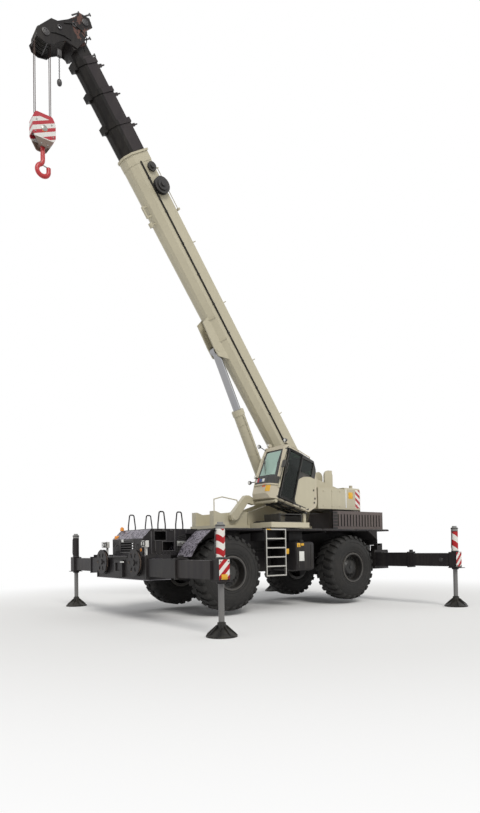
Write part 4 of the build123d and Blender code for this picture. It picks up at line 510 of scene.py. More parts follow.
finishes = {
    "charcoal_paint": sprayedEnamel("charcoalEnamel", "#232123", 0.42, dustAmount=0.06, gloss=0.18, marks=carrierMarks),
    "deck_paint": sprayedEnamel("deckEnamel", "#232123", 0.6, dustAmount=0.06, gloss=0.18, marks=antiSlip),
    "hood_paint": sprayedEnamel("hoodEnamel", "#574D4B", 0.45, gloss=0.3, marks=hoodTonesAndGapShade),
    "engine_iron": sprayedEnamel("castIron", "#303030", 0.6),
    "ladder_aluminium": sprayedEnamel("milledAluminium", "#B8B6B0", 0.35, metallic=1.0),
    "lamp_glass": sprayedEnamel("lampShell", "#C9C8C4", 0.3),
    "beige_paint": sprayedEnamel("beigeEnamel", "#B5AE97", 0.34),
    "winch_paint": sprayedEnamel("winchEnamel", "#3A3838", 0.5),
    "reel_black": sprayedEnamel("mouldedNylon", "#1E1C1C", 0.5),
    "boom_grey": sprayedEnamel("boomEnamel", "#302B2D", 0.38, dustAmount=0.05, gloss=0.18, marks=boomShadeAndWear),
    "sheave_black": sprayedEnamel("castPolyamide", "#222120", 0.5),
    "rod_chrome": sprayedEnamel("hardChrome", "#9A9A9C", 0.15, metallic=1.0),
    "rope_steel": sprayedEnamel("wireRope", "#3A2A26", 0.4, metallic=0.6),
    "block_paint": sprayedEnamel("blockEnamel", "#D6D4D0", 0.35, marks=blockMarks),
    "hook_red": sprayedEnamel("hookEnamel", "#B4232A", 0.35),
    "cab_window_glass": tintedGlass("tintedGlass", "#B4CDBF", "#141817", 0.6),
    "seat_fabric": sprayedEnamel("seatWeave", "#222222", 0.9, peel=0.6),
    "door_paint": sprayedEnamel("doorEnamel", "#171716", 0.4, dustAmount=0.04, gloss=0.2),
    "rim_paint": sprayedEnamel("rimEnamel", "#211F1E", 0.5, marks=rimMarks),
    "tyre_rubber": vulcanisedRubber("tyreRubber"),
    "jack_steel": sprayedEnamel("jackSteel", "#1C1B1B", 0.4, gloss=0.25, marks=floatMarks),
}
finishes["beam_paint"] = sprayedEnamel("beamEnamel", "#272426", 0.42, dustAmount=0.06, gloss=0.18, marks=jackMarks)
finishes["table_paint"] = sprayedEnamel("turntableEnamel", "#BBB49D", 0.34, marks=tableShadeUnderCab)
finishes["weight_paint"] = sprayedEnamel("counterweightEnamel", "#B4AC94", 0.34, marks=weightMarks)
finishes["cab_paint"] = sprayedEnamel("cabEnamel", "#B9B09B", 0.34, marks=cabBandsAndInsideShade)
slotOf = {s["node"]: s["material_slot"] for s in frame["record"]["subparts"]}
for node, thing in frame["nodes"].items():
    ownFinish = {"cab_shell": "cab_paint", "turntable": "table_paint", "counterweight": "weight_paint",
            "front_hood": "charcoal_paint"}
    finish = "beam_paint" if node.startswith("inner_beam") else ownFinish.get(node, slotOf[node])
    thing.data.materials.clear()
    thing.data.materials.append(finishes[finish])
print("finishes on")


# tyres: carcass turned from its section, two staggered rows of slanting lugs
tyre = {
    "radius": 0.935, "halfWidth": 0.34, "lugDepth": 0.036, "lugsPerSide": 26,
    "lugShare": 0.64, "lugSlant": 0.36,         # share of the pitch, radians a metre across the tread
    "steps": 80,
}


def makeTyre(corner, axleX, side):
    centre = Vector((axleX, side * crane["wheelY"], crane["axleZ"]))
    tread, half = tyre["radius"] - tyre["lugDepth"], tyre["halfWidth"]
    outer = [(0.0, tread), (0.12, tread), (0.215, tread - 0.012), (0.262, 0.868), (0.296, 0.82), (0.312, 0.765),
             (0.326, 0.742), (0.329, 0.722), (0.322, 0.716), (0.326, 0.70), (0.334, 0.675), (half,
                     0.62), (half - 0.001, 0.585),
             (half - 0.008, 0.581), (half - 0.002, 0.577), (half - 0.003, 0.54), (0.329, 0.505), (0.321,
                     0.50), (0.324, 0.493),
             (0.322, 0.465), (0.312, 0.442), (0.2985, 0.432), (0.2985, 0.388)]
    shape = bmesh.new()
    profile = outer + [(-along, out) for along, out in reversed(outer)][:-1]
    place = Matrix.Translation(centre) @ Vector((0, 1, 0)).to_track_quat("Z", "Y").to_matrix().to_4x4()
    verts = [shape.verts.new(place @ Vector((out, 0, along))) for along, out in profile]
    edges = [shape.edges.new(pair) for pair in zip(verts, verts[1:] + verts[:1])]
    bmesh.ops.spin(shape, geom=verts + edges, cent=centre, axis=(0, 1, 0), angle=math.tau, steps=tyre["steps"],
            use_merge=True)
    pitch = math.tau / tyre["lugsPerSide"]
    section = [(0.012, tread - 0.01), (0.012, tyre["radius"]), (0.195, tyre["radius"]), (0.288, 0.912),
            (0.322, 0.855),
               (0.320, 0.83), (0.30, 0.815), (0.262, 0.86)]
    for row in (-1, 1):
        for lug in range(tyre["lugsPerSide"]):
            turn = pitch * (lug + (0.25 if row > 0 else 0.75))
            lugVerts = [shape.verts.new(centre + Vector((out, row * along, 0))) for along, out in section]
            face = shape.faces.new(lugVerts)
            made = bmesh.ops.extrude_face_region(shape, geom=[face])["geom"]
            far = [v for v in made if isinstance(v, bmesh.types.BMVert)]
            for group, share in ((lugVerts, -0.5), (far, 0.5)):
                for v in group:
                    reach = abs(v.co.y - centre.y)
                    width = pitch * tyre["lugShare"] * share * (1.0 - 0.25 * reach / half)
                    swing = turn + width + side * tyre["lugSlant"] * reach
                    bmesh.ops.rotate(shape, cent=centre, matrix=Matrix.Rotation(swing, 3, "Y"), verts=[v])
            edgesOut = list({e for v in lugVerts + far for e in v.link_edges})
            bmesh.ops.bevel(shape, geom=edgesOut, offset=0.006, offset_type="OFFSET", segments=1, profile=0.5,
                    affect="EDGES", material=-1)
    piece = finishPiece("tyre_" + corner, shape, finishes["tyre_rubber"], "wheel_" + corner, 32)
    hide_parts("tyre_" + corner)


wheel = {"boltRing": 0.345, "bolts": 20, "hubRing": 0.195, "hubBolts": 12, "boltRadius": 0.016}


def makeWheelBolts(corner, axleX, side):
    # wheel nuts on the disc, smaller bolts round the planetary cover, a drain plug and the valve
    shape = bmesh.new()
    centre = Vector((axleX, side * crane["wheelY"], crane["axleZ"]))
    for ring, count, radius, low, high in ((wheel["boltRing"] - 0.045, wheel["bolts"], wheel["boltRadius"], 0.09,
            0.135),
                                           (wheel["hubRing"], wheel["hubBolts"], 0.011, 0.185, 0.222)):
        for bolt in range(count):
            angle = math.tau * (bolt + 0.5) / count
            spot = centre + Vector((math.cos(angle) * ring, 0, math.sin(angle) * ring))
            addBar(shape, spot + Vector((0, side * low, 0)), spot + Vector((0, side * high, 0)), radius, 6)
    addBar(shape, centre + Vector((0, side * 0.218, 0)), centre + Vector((0, side * 0.238, 0)), 0.045, 16)
    addBar(shape, centre + Vector((0.35, side * 0.10, 0.05)), centre + Vector((0.37, side * 0.17, 0.053)), 0.006, 8)
    finishPiece("wheelBolts_" + corner, shape, finishes["engine_iron"], "wheel_" + corner)


for end, axleX in (("front", crane["axleX"][0]), ("rear", crane["axleX"][1])):
    for sideName, side in (("left", 1), ("right", -1)):
        makeTyre(end + "_" + sideName, axleX, side)
        makeWheelBolts(end + "_" + sideName, axleX, side)
print("tyres and wheel bolts made")


# hoist ropes: four falls, each a bundle of six strands laid in a slow helix
ropeFalls = {"radius": 0.010, "layLength": 0.16, "strands": 6, "stepsPerLay": 10}


def makeRopes():
    low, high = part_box("hoist_ropes")
    middleX, middleY = (low[0] + high[0]) / 2, (low[1] + high[1]) / 2
    reachX = (high[0] - low[0]) / 2 - ropeFalls["radius"]
    reachY = (high[1] - low[1]) / 2 - ropeFalls["radius"]
    shape = bmesh.new()
    for x in (-1, 1):
        for y in (-1, 1):
            centre = Vector((middleX + x * reachX, middleY + y * reachY, low[2]))
            ring = bmesh.ops.create_circle(shape, cap_ends=True, segments=2 * ropeFalls["strands"],
                    radius=ropeFalls["radius"], matrix=Matrix.Translation(centre))["verts"]
            for index, v in enumerate(ring):
                if index % 2:
                    v.co = centre + (v.co - centre) * 0.72      # groove between two strands
            edges = list({e for v in ring for e in v.link_edges})
            turns = (high[2] - low[2]) / ropeFalls["layLength"]
            steps = int(turns * ropeFalls["stepsPerLay"])
            end = bmesh.ops.spin(shape, geom=edges, cent=centre, axis=(0, 0, 1), angle=math.tau * turns, steps=steps,
                    dvec=(0, 0, (high[2] - low[2]) / steps))["geom_last"]
            bmesh.ops.contextual_create(shape, geom=[e for e in end if isinstance(e, bmesh.types.BMEdge)])
    piece = finishPiece("hoistRopeFalls", shape, finishes["rope_steel"], None, 80)
    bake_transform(piece)
    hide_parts("hoist_ropes")


makeRopes()
print("hoist ropes made")


# small shared finishes
plain = {
    "blackRubber": vulcanisedRubber("hoseRubber", "#161514", "#2A2826"),
    "zincSteel": sprayedEnamel("zincPlatedSteel", "#8F8F8C", 0.35, metallic=0.8, dustAmount=0.2),
    "whitePolycarbonate": sprayedEnamel("whitePolycarbonate", "#DADAD6", 0.25, dustAmount=0.05),
    "amberLens": sprayedEnamel("amberAcrylic", "#E08A1E", 0.15, dustAmount=0.03),
    "redLens": sprayedEnamel("redAcrylic", "#9E1618", 0.15, dustAmount=0.03),
    "yellowVinyl": sprayedEnamel("yellowVinyl", "#D9A520", 0.4, dustAmount=0.1, peel=0.01),
    "whiteVinyl": sprayedEnamel("whiteVinyl", "#D4D4D0", 0.4, dustAmount=0.1, peel=0.01),
    "redVinyl": sprayedEnamel("redVinyl", "#A8202A", 0.4, dustAmount=0.1, peel=0.01),
    "blueVinyl": sprayedEnamel("blueVinyl", "#2E4C86", 0.4, dustAmount=0.1, peel=0.01),
    "orangeVinyl": sprayedEnamel("orangeVinyl", "#DC6A2C", 0.4, dustAmount=0.1, peel=0.01),
    "blackSteel": sprayedEnamel("blackEnamel", "#1D1C1C", 0.45, dustAmount=0.15),
    "beigeSteel": finishes["beige_paint"],
    "charcoalSteel": sprayedEnamel("fittingEnamel", "#353335", 0.42),
    "brownSteel": sprayedEnamel("oiledSteel", "#5A4A40", 0.5),
}

# blank stickers: body, finish, then centre, size and turn of each
stickers = {
    "tankLabels": ("carrier", "whiteVinyl", [((-0.26, 1.4815, 1.42), (0.19, 0.003, 0.26), None)]),
    "tankPatches": ("carrier", "yellowVinyl", [((-0.16, 1.4815, 1.72), (0.12, 0.003, 0.11), None),
            ((-0.30, 1.4815, 1.735), (0.10, 0.003, 0.06), None), ((0.22, 1.4415, 1.56), (0.12, 0.003, 0.14), None)]),
    "weightPatches": ("superstructure", "yellowVinyl", [((-2.50, 1.2515, 3.17), (0.19, 0.003, 0.19), None)]),
    "weightBand": ("superstructure", "whiteVinyl", [((-2.30, 1.2515, 3.07), (0.05, 0.003, 0.55), None)]),
    "cabWhite": ("cab", "whiteVinyl", [(cabPoint(1.3415, 0.50, 1.06), (0.003, 0.10, 0.09), cabTurn),
            (cabPoint(1.3415, 0.50, 0.78), (0.003, 0.05, 0.10), cabTurn)]),
    "cabRed": ("cab", "redVinyl", [(cabPoint(1.3415, 0.51, 0.84), (0.003, 0.07, 0.12), cabTurn)]),
    "cabBlue": ("cab", "blueVinyl", [(cabPoint(1.3415, 0.50, 0.95), (0.003, 0.10, 0.08), cabTurn)]),
    "cabYellow": ("cab", "yellowVinyl", [(cabPoint(1.3215, 0.27, 1.30), (0.016, 0.15, 0.20),
            cabTurn @ Matrix.Rotation(math.radians(14.4), 4, "Z"))]),
    "cabOrange": ("cab", "orangeVinyl", [(cabPoint(1.3415, 0.345, 1.13), (0.003, 0.12, 0.09), cabTurn)]),
    "blockPatch": ("hook_block", "orangeVinyl", [((6.14, 0.1265, 11.19), (0.12, 0.003, 0.09),
            Matrix.Rotation(math.radians(20), 4, "Y"))]),
    "jackPatch": ("inner_beam_front_left", "yellowVinyl", [((4.14, 4.0725, 1.13), (0.14, 0.003, 0.10), None)]),
}


def makeStickers():
    for name, (body, finish, plates) in stickers.items():
        shape = bmesh.new()
        for centre, size, turn in plates:
            addBlock(shape, centre, size, turn, 0.001)
        finishPiece(name, shape, plain[finish], body)


makeStickers()

# cab: side panel, corner post, seals, wiper, handles, mirrors, lamps and what shows inside
cabFittings = {
    "panelOutline": [(0.0, 0.93), (0.18, 0.94), (0.42, 0.86), (0.57, 0.74), (0.595, 0.60), (0.595, 0.22),
            (0.53, 0.09), (0.40, 0.03), (0.10, 0.03), (-0.10, 0.20), (-0.12, 0.36)],
    "panelY": (1.5805, 1.5830),
    "postRadius": 0.028,
}


def makeCabFittings():
    shape = bmesh.new()
    verts = [shape.verts.new(cabPoint(along, up, cabFittings["panelY"][0])) for along,
            up in cabFittings["panelOutline"]]
    face = shape.faces.new(verts)
    far = [v for v in bmesh.ops.extrude_face_region(shape, geom=[face])["geom"] if isinstance(v, bmesh.types.BMVert)]
    bmesh.ops.translate(shape, verts=far, vec=(0, cabFittings["panelY"][1] - cabFittings["panelY"][0], 0))
    corners = [e for e in shape.edges if abs(e.verts[0].co.y - e.verts[1].co.y) > 0.001]
    bmesh.ops.bevel(shape, geom=corners, offset=0.05, offset_type="OFFSET", segments=5, profile=0.5, affect="EDGES",
            material=-1)
    # corner posts beside the windscreen and the beige sill round the nose
    for y, along in ((1.566, 1.172), (0.715, 1.318)):
        top = 1.165 if y > 1 else 1.225
        addTube(shape, [cabPoint(along, 0.30, y), cabPoint(along + 0.004, 0.62, y),
                cabPoint((along + top) / 2, 1.10, y - 0.004), cabPoint(top - 0.03, 1.42,
                y - 0.02), cabPoint(top - 0.16, 1.485, y - 0.05)], cabFittings["postRadius"], 12)
    addTube(shape, cabPath((1.355, 0.36, 0.74), (1.355, 0.36, 1.20), (1.30, 0.36, 1.42), (1.19, 0.36, 1.57)), 0.016,
            10)
    finishPiece("cabPanels", shape, plain["beigeSteel"], "cab")

    shape = bmesh.new()
    # door and pane seals, rail brackets, wiper, grab handle, latches and the mirror arms
    for left, right, low, high, y in ((0.625, 1.125, 0.055, 1.405, 1.6265), (0.15, 0.588, 0.95, 1.34, 1.584)):
        ring = [(left, low), (right, low), (right, high), (left, high)]
        for (a, b), (c, d) in zip(ring, ring[1:] + ring[:1]):
            addBar(shape, cabPoint(a, b, y), cabPoint(c, d, y), 0.009, 8)
    addTube(shape, cabPath((1.36, 0.66, 1.12), (1.335, 0.95, 0.98), (1.318, 1.06, 0.96)), 0.008, 8)
    addBlock(shape, cabPoint(1.318, 1.0, 0.93), (0.012, 0.02, 0.50),
            cabTurn @ Matrix.Rotation(math.radians(24), 4, "X"), 0.003)
    addTube(shape, cabPath((1.10, 0.70, 1.625), (1.10, 0.74, 1.66), (1.095, 0.98, 1.66), (1.095, 1.02, 1.625)), 0.010,
            8)
    for up in (0.30, 0.42, 0.62):
        addBlock(shape, cabPoint(-0.02 if up > 0.5 else -0.13, up, 1.587), (0.035, 0.016, 0.05), cabTurn, 0.004)
    for along in (0.35, 0.62, 0.90, 1.12):
        addBlock(shape, cabPoint(along, 0.03, 1.592), (0.05, 0.022, 0.035), cabTurn, 0.004)
    addTube(shape, cabPath((1.20, 0.52, 1.575), (1.26, 0.58, 1.66), (1.26, 0.86, 1.68)), 0.010, 8)
    addBlock(shape, cabPoint(1.26, 0.92, 1.68), (0.04, 0.13, 0.20), cabTurn, 0.015)
    # black cable down the corner, and the frame under the floor
    addTube(shape, cabPath((1.12, 1.50, 1.50), (1.165, 1.44, 1.60), (1.205, 1.0, 1.602), (1.208, 0.45, 1.602)), 0.009,
            8)
    for y in (0.86, 1.14, 1.42):
        addBlock(shape, cabPoint(0.55, -0.022, y), (1.25, 0.05, 0.04), cabTurn, 0.006)
    for along in (0.05, 0.45, 0.85, 1.15):
        addBlock(shape, cabPoint(along, -0.026, 1.14), (0.05, 0.72, 0.045), cabTurn, 0.006)
    finishPiece("cabBlackTrim", shape, plain["blackSteel"], "cab")

    shape = bmesh.new()
    # work-lamp lenses on the roof corners and at the sill
    for along, up, y in ((1.16, 1.59, 1.48), (1.16, 1.59, 0.77), (1.33, 0.62, 0.715)):
        addTurned(shape, [(0.0, 0.0), (0.012, 0.022), (0.008, 0.034), (0.0, 0.036)], cabPoint(along + 0.046, up, y),
                cabTurn @ Vector((1, 0, 0)), 20)
    finishPiece("cabLampLenses", shape, plain["whitePolycarbonate"], "cab", merge=0.0002)

    shape = bmesh.new()
    # dashboard, steering column and wheel, armrest levers, display
    addBlock(shape, cabPoint(1.06, 0.52, 1.14), (0.20, 0.62, 0.16), cabTurn, 0.03)
    addBar(shape, cabPoint(1.02, 0.06, 1.14), cabPoint(0.86, 0.66, 1.14), 0.045, 12)
    grip = [(0.012 * math.sin(math.tau * k / 8), 0.19 + 0.014 * math.cos(math.tau * k / 8)) for k in range(9)]
    addTurned(shape, grip, cabPoint(0.85, 0.70, 1.14), cabTurn @ Vector((-0.35, 0, 0.94)), 32)
    for angle in (0, 120, 240):
        hub = cabPoint(0.85, 0.70, 1.14)
        addBar(shape, hub, hub + cabTurn @ (Matrix.Rotation(math.radians(-20), 4,
                "Y") @ Vector((0.185 * math.cos(math.radians(angle)), 0.185 * math.sin(math.radians(angle)),
                0))), 0.010, 8)
    for y in (0.84, 1.44):
        addBlock(shape, cabPoint(0.48, 0.60, y), (0.42, 0.09, 0.07), cabTurn, 0.02)
        addBar(shape, cabPoint(0.64, 0.63, y), cabPoint(0.66, 0.77, y), 0.012, 10)
        addBlock(shape, cabPoint(0.665, 0.80, y), (0.045, 0.04, 0.09), cabTurn, 0.014)
    addBlock(shape, cabPoint(1.02, 0.78, 0.86), (0.03, 0.24, 0.17),
            cabTurn @ Matrix.Rotation(math.radians(-20), 4, "Z"), 0.010)
    finishPiece("cabControls", shape, plain["blackSteel"], "cab", merge=0.0002)


makeCabFittings()
print("cab fitted")

# boom: cables and rods along the base section, wind gauge, anti-two-block weight
boomCable = {"body": "boom_base", "from": 0.4, "to": 9.55, "height": 0.02, "reach": 0.26, "clips": 11}


def makeBoomCables():
    shape = bmesh.new()
    low, high, n, y = boomCable["from"], boomCable["to"], boomCable["height"], boomCable["reach"]
    for down, radius in ((0.0, 0.012), (0.032, 0.008)):
        addBar(shape, boomPoint(low, n - down, y), boomPoint(high, n - down, y), radius, 8)
    for clip in range(boomCable["clips"]):
        addBlock(shape, boomPoint(low + (high - low) * (clip + 0.5) / boomCable["clips"], n - 0.014, y),
                (0.03, 0.03, 0.07), boomTurn, 0.004)
    finishPiece("foldCable", shape, plain["blackRubber"], boomCable["body"])


makeBoomCables()


def makeHeadFittings():
    shape = bmesh.new()
    # plates' stiffening rims and bosses, shaft caps, keeper bars between the plates and a wind gauge
    for y in (-0.2625, 0.2625):
        for s, n, radius in ((12.55, -0.75, 0.085), (12.60, 0.42, 0.075), (12.59, -0.33, 0.052),
                (12.59, 0.09, 0.052)):
            inner = 0.031 if radius < 0.06 else 0.0
            side = 1 if y > 0 else -1
            addTurned(shape, [(-0.002, inner), (0.016, inner), (0.020, radius - 0.012), (0.014, radius),
                    (-0.002, radius)], boomPoint(s, n, y - side * 0.0015), (0, side, 0), 24)
            for bolt in range(6):
                if inner:
                    continue
                angle = math.tau * bolt / 6
                spot = boomPoint(s + 0.055 * math.cos(angle), n + 0.055 * math.sin(angle), y + side * 0.016)
                addBar(shape, spot, spot + Vector((0, side * 0.012, 0)), 0.010, 6)
    for s, n in ((12.58, -0.94), (12.37, -0.80), (12.68, -0.80), (12.70, -0.46), (12.70, 0.26), (12.60, 0.60)):
        addBar(shape, boomPoint(s, n, -0.235), boomPoint(s, n, 0.235), 0.014, 10)
    addBar(shape, boomPoint(12.55, 0.56, -0.20), boomPoint(12.60, 0.72, -0.20), 0.012, 8)
    finishPiece("headFittings", shape, plain["charcoalSteel"], "boom_section_5", merge=0.0002)

    shape = bmesh.new()
    # hose loops and the lamp lead at the head
    for side in (-1, 1):
        addTube(shape, boomPath((12.10, 0.10, side * 0.175), (12.28, 0.26, side * 0.24), (12.45, 0.22, side * 0.272),
                (12.62, 0.06, side * 0.272), (12.66, -0.15, side * 0.27)), 0.012, 8)
    addTube(shape, boomPath((12.30, -0.20, 0.268), (12.42, -0.34, 0.275), (12.50, -0.52, 0.275),
            (12.52, -0.62, 0.268)), 0.010, 8)
    finishPiece("headHoses", shape, plain["blackRubber"], "boom_section_5")


makeHeadFittings()

blockWeight = {"top": 13.02, "low": 12.50, "x": 5.80, "y": 0.16, "chainLink": 0.045}


def makeBlockWeight():
    # chain and ball-shaped weight of the upper limit switch, hanging beside the falls
    shape = bmesh.new()
    top, low, link = blockWeight["top"], blockWeight["low"], blockWeight["chainLink"]
    place = Vector((blockWeight["x"], blockWeight["y"], 0))
    links = int((top - low) / (link * 0.72))
    for index in range(links):
        centre = place + Vector((0, 0, top - link * 0.72 * (index + 0.5)))
        turn = Matrix.Rotation(math.radians(90 * (index % 2)), 4, "Z")
        path = [centre + turn @ Vector((link * 0.28 * math.cos(k * math.tau / 8), 0,
                link * 0.5 * math.sin(k * math.tau / 8))) for k in range(9)]
        addTube(shape, path, 0.005, 5)
    addTurned(shape, [(-0.08, 0.0), (-0.077, 0.02), (-0.055, 0.045), (-0.02, 0.056), (0.02, 0.056), (0.055, 0.045),
            (0.077, 0.02), (0.09, 0.01), (0.11, 0.0)], place + Vector((0, 0, low - 0.09)), (0, 0, 1), 24)
    addBlock(shape, place + Vector((0, 0, top + 0.07)), (0.10, 0.07, 0.16), None, 0.012)
    finishPiece("limitWeight", shape, plain["charcoalSteel"], "load_line", merge=0.0002)


makeBlockWeight()


def makeHookBlockFittings():
    shape = bmesh.new()
    # shaft caps, cheek bolts, closing pins and the safety latch's pivot
    for side in (-1, 1):
        addTurned(shape, [(0.0, 0.0), (0.018, 0.0), (0.018, 0.05), (0.008, 0.07), (0.0, 0.07)],
                (6.1428, side * 0.124, 11.22), (0, side, 0), 24)
        for x, z in ((-0.17, 11.36), (0.17, 11.36), (-0.20, 11.08), (0.20, 11.08), (-0.07, 10.85), (0.07, 10.85)):
            addBar(shape, (6.1428 + x, side * 0.124, z), (6.1428 + x, side * 0.136, z), 0.016, 6)
    finishPiece("blockBolts", shape, plain["zincSteel"], "hook_block", merge=0.0002)
    shape = bmesh.new()
    addTube(shape, [(6.20, 0, 10.47), (6.14, 0, 10.44), (6.06, 0, 10.42), (6.022, 0, 10.415)], 0.012, 8)
    addBar(shape, (6.20, -0.05, 10.47), (6.20, 0.05, 10.47), 0.014, 10)
    finishPiece("hookLatch", shape, plain["zincSteel"], "hook")


makeHookBlockFittings()
print("boom, head and block fitted")

# carrier: hood fittings, reels, lamps, tanks, deck edges, ladder treads, hoses
frontHood = {"halfWidth": 0.82, "frontX": 4.17}


def makeHoodFittings():
    shape = bmesh.new()
    # panel seams as raised cover strips, hinges, handles and bolts on both sides
    for side in (-1, 1):
        y = side * (frontHood["halfWidth"] + 0.004)
        for x, low, high in ((2.98, 2.05, 2.15), (3.30, 1.60, 2.14), (3.94, 1.56, 2.10)):
            addBlock(shape, (x, y, (low + high) / 2), (0.03, 0.012, high - low), None, 0.003)
        for x, z in ((3.48, 1.74), (3.70, 1.99)):
            addTube(shape, [(x - 0.165, y, z - 0.115), (x - 0.165, y, z + 0.115), (x + 0.165, y, z + 0.115),
                    (x + 0.165, y, z - 0.115), (x - 0.165, y, z - 0.115)], 0.010, 8)
        for x in (3.40, 3.62, 3.84):
            addBlock(shape, (x, y + side * 0.006, 2.125), (0.09, 0.022, 0.04), None, 0.006)
        addTube(shape, [(3.86, y, 1.62), (3.86, y + side * 0.05, 1.64), (3.86, y + side * 0.05, 1.86),
                (3.86, y, 1.88)], 0.010, 8)
        for bolt in range(9):
            addBar(shape, (3.34 + 0.095 * bolt, y - side * 0.004, 1.575),
                    (3.34 + 0.095 * bolt, y + side * 0.012, 1.575), 0.011, 6)
        # cover over the steering valves beside the hood
        addBlock(shape, (3.05, side * 0.70, 1.93), (0.22, 0.16, 0.16), None, 0.02)
    # nose: two handles, centre rib and grille frame
    for y in (-0.55, 0.55):
        addTube(shape, [(4.17, y, 1.62), (4.21, y, 1.63), (4.21, y, 1.78), (4.17, y, 1.79)], 0.010, 8)
    for z in (1.60, 1.90):
        addBlock(shape, (4.174, 0, z), (0.014, 0.74, 0.025), None, 0.004)
    for y in (-0.36, 0.36):
        addBlock(shape, (4.174, y, 1.75), (0.014, 0.025, 0.32), None, 0.004)
    finishPiece("hoodFittings", shape, plain["charcoalSteel"], "carrier")

    shape = bmesh.new()
    addBlock(shape, (4.10, -0.66, 1.975), (0.16, 0.10, 0.10), None, 0.03)
    addTurned(shape, [(0.0, 0.0), (0.0, 0.05), (0.07, 0.045), (0.095, 0.02), (0.10, 0.0)], (3.98, -0.66, 2.15),
            (0, 0, 1), 20)
    addTurned(shape, [(0.0, 0.0), (0.012, 0.028), (0.0, 0.045)], (4.275, 0.95, 1.66), (1, 0, 0), 16)
    finishPiece("amberLamps", shape, plain["amberLens"], "carrier", merge=0.0003)

    shape = bmesh.new()
    addBlock(shape, (4.178, -0.22, 1.98 - 0.09), (0.012, 0.11, 0.07), None, 0.004)
    addBlock(shape, (4.28, 1.30, 1.475), (0.02, 0.10, 0.06), None, 0.006)
    addBlock(shape, (4.447, 0.30, 1.38), (0.012, 0.20, 0.03), None, 0.004)
    finishPiece("whiteFittings", shape, plain["whitePolycarbonate"], "carrier")


makeHoodFittings()

def makeHeadlamps():
    # two round lenses in each cluster with bezels and a stone guard
    lenses, guards = bmesh.new(), bmesh.new()
    low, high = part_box("headlamps")
    for side in (-1, 1):
        for reach in (-0.055, 0.055):
            centre = Vector((high[0], side * (high[1] - 0.105) + reach, high[2] - 0.075))
            addTurned(lenses, [(0.0, 0.046), (0.012, 0.042), (0.020, 0.025), (0.023, 0.0)], centre, (1, 0, 0), 24)
            addTurned(guards, [(0.0, 0.047), (0.0, 0.056), (0.018, 0.056), (0.020, 0.050), (0.016, 0.047),
                    (0.0, 0.047)], centre, (1, 0, 0), 24)
        middle = side * (high[1] - 0.105)
        for z in (high[2] - 0.125, high[2] - 0.075, high[2] - 0.025):
            addBar(guards, (high[0] + 0.03, middle - 0.12, z), (high[0] + 0.03, middle + 0.12, z), 0.004, 6)
        for y in (middle - 0.12, middle + 0.12):
            addTube(guards, [(high[0] - 0.01, y, high[2] - 0.15), (high[0] + 0.03, y, high[2] - 0.14),
                    (high[0] + 0.03, y, high[2] - 0.01), (high[0] - 0.01, y, high[2])], 0.005, 6)
    finishPiece("headlampLenses", lenses, plain["whitePolycarbonate"], "carrier", merge=0.0003)
    finishPiece("headlampGuards", guards, plain["blackSteel"], "carrier", merge=0.0)
    tail, lamps = bmesh.new(), bmesh.new()
    for side in (-1, 1):
        for z, radius in ((1.60, 0.05), (1.60, 0.035)):
            addTurned(tail, [(0.0, radius), (0.015, radius * 0.9), (0.02, 0.0)],
                    (-3.862, side * (1.10 if radius > 0.04 else 1.21), z), (-1, 0, 0), 20)
        addBlock(lamps, (-3.865, side * 1.15, 1.53), (0.02, 0.10, 0.04), None, 0.006)
    finishPiece("tailLamps", tail, plain["redLens"], "carrier", merge=0.0003)
    finishPiece("plateLamps", lamps, plain["whitePolycarbonate"], "carrier")


makeHeadlamps()

tank = {"x": (-0.75, -0.05), "y": (0.42, 1.48), "z": (1.03, 1.81), "rounding": 0.07, "mountTop": 2.11}


def makeTanks():
    shape = bmesh.new()
    straps = bmesh.new()
    middleX, middleY, middleZ = sum(tank["x"]) / 2, sum(tank["y"]) / 2, sum(tank["z"]) / 2
    length, width, height = tank["x"][1] - tank["x"][0], tank["y"][1] - tank["y"][0], tank["z"][1] - tank["z"][0]
    for side in (-1, 1):
        addBlock(shape, (middleX, side * middleY, middleZ), (length, width, height), None, tank["rounding"])
        addBlock(shape, (middleX, side * middleY, (tank["z"][1] + tank["mountTop"]) / 2),
                (length - 0.2, 0.3, tank["mountTop"] - tank["z"][1] + 0.01), None, 0.01)
        for x in (middleX - 0.22, middleX + 0.24):
            addTube(straps, [(x, side * 0.50, tank["z"][1] + 0.004), (x, side * 1.40, tank["z"][1] + 0.004),
                    (x, side * (tank["y"][1] + 0.003), tank["z"][1] - 0.08), (x, side * (tank["y"][1] + 0.003),
                    tank["z"][0] + 0.08), (x, side * 1.40, tank["z"][0] - 0.004), (x, side * 0.50,
                    tank["z"][0] - 0.004)], 0.009, 8)
        addTurned(straps, [(0.0, 0.0), (0.0, 0.075), (0.03, 0.075), (0.05, 0.06), (0.055, 0.0)],
                (middleX - 0.05, side * 1.25, tank["z"][1]), (0, 0, 1), 24)
        addBar(straps, (middleX + 0.30, side * (tank["y"][1] + 0.002), 1.20),
                (middleX + 0.30, side * (tank["y"][1] + 0.002), 1.60), 0.010, 8)
    piece = finishPiece("tankShells", shape, finishes[slotOf["side_tanks"]], "carrier")
    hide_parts("side_tanks")
    finishPiece("tankStraps", straps, plain["blackSteel"], "carrier", merge=0.0)


makeTanks()


ladderTread = {"steps": 6, "dimples": 9, "y": 1.56}


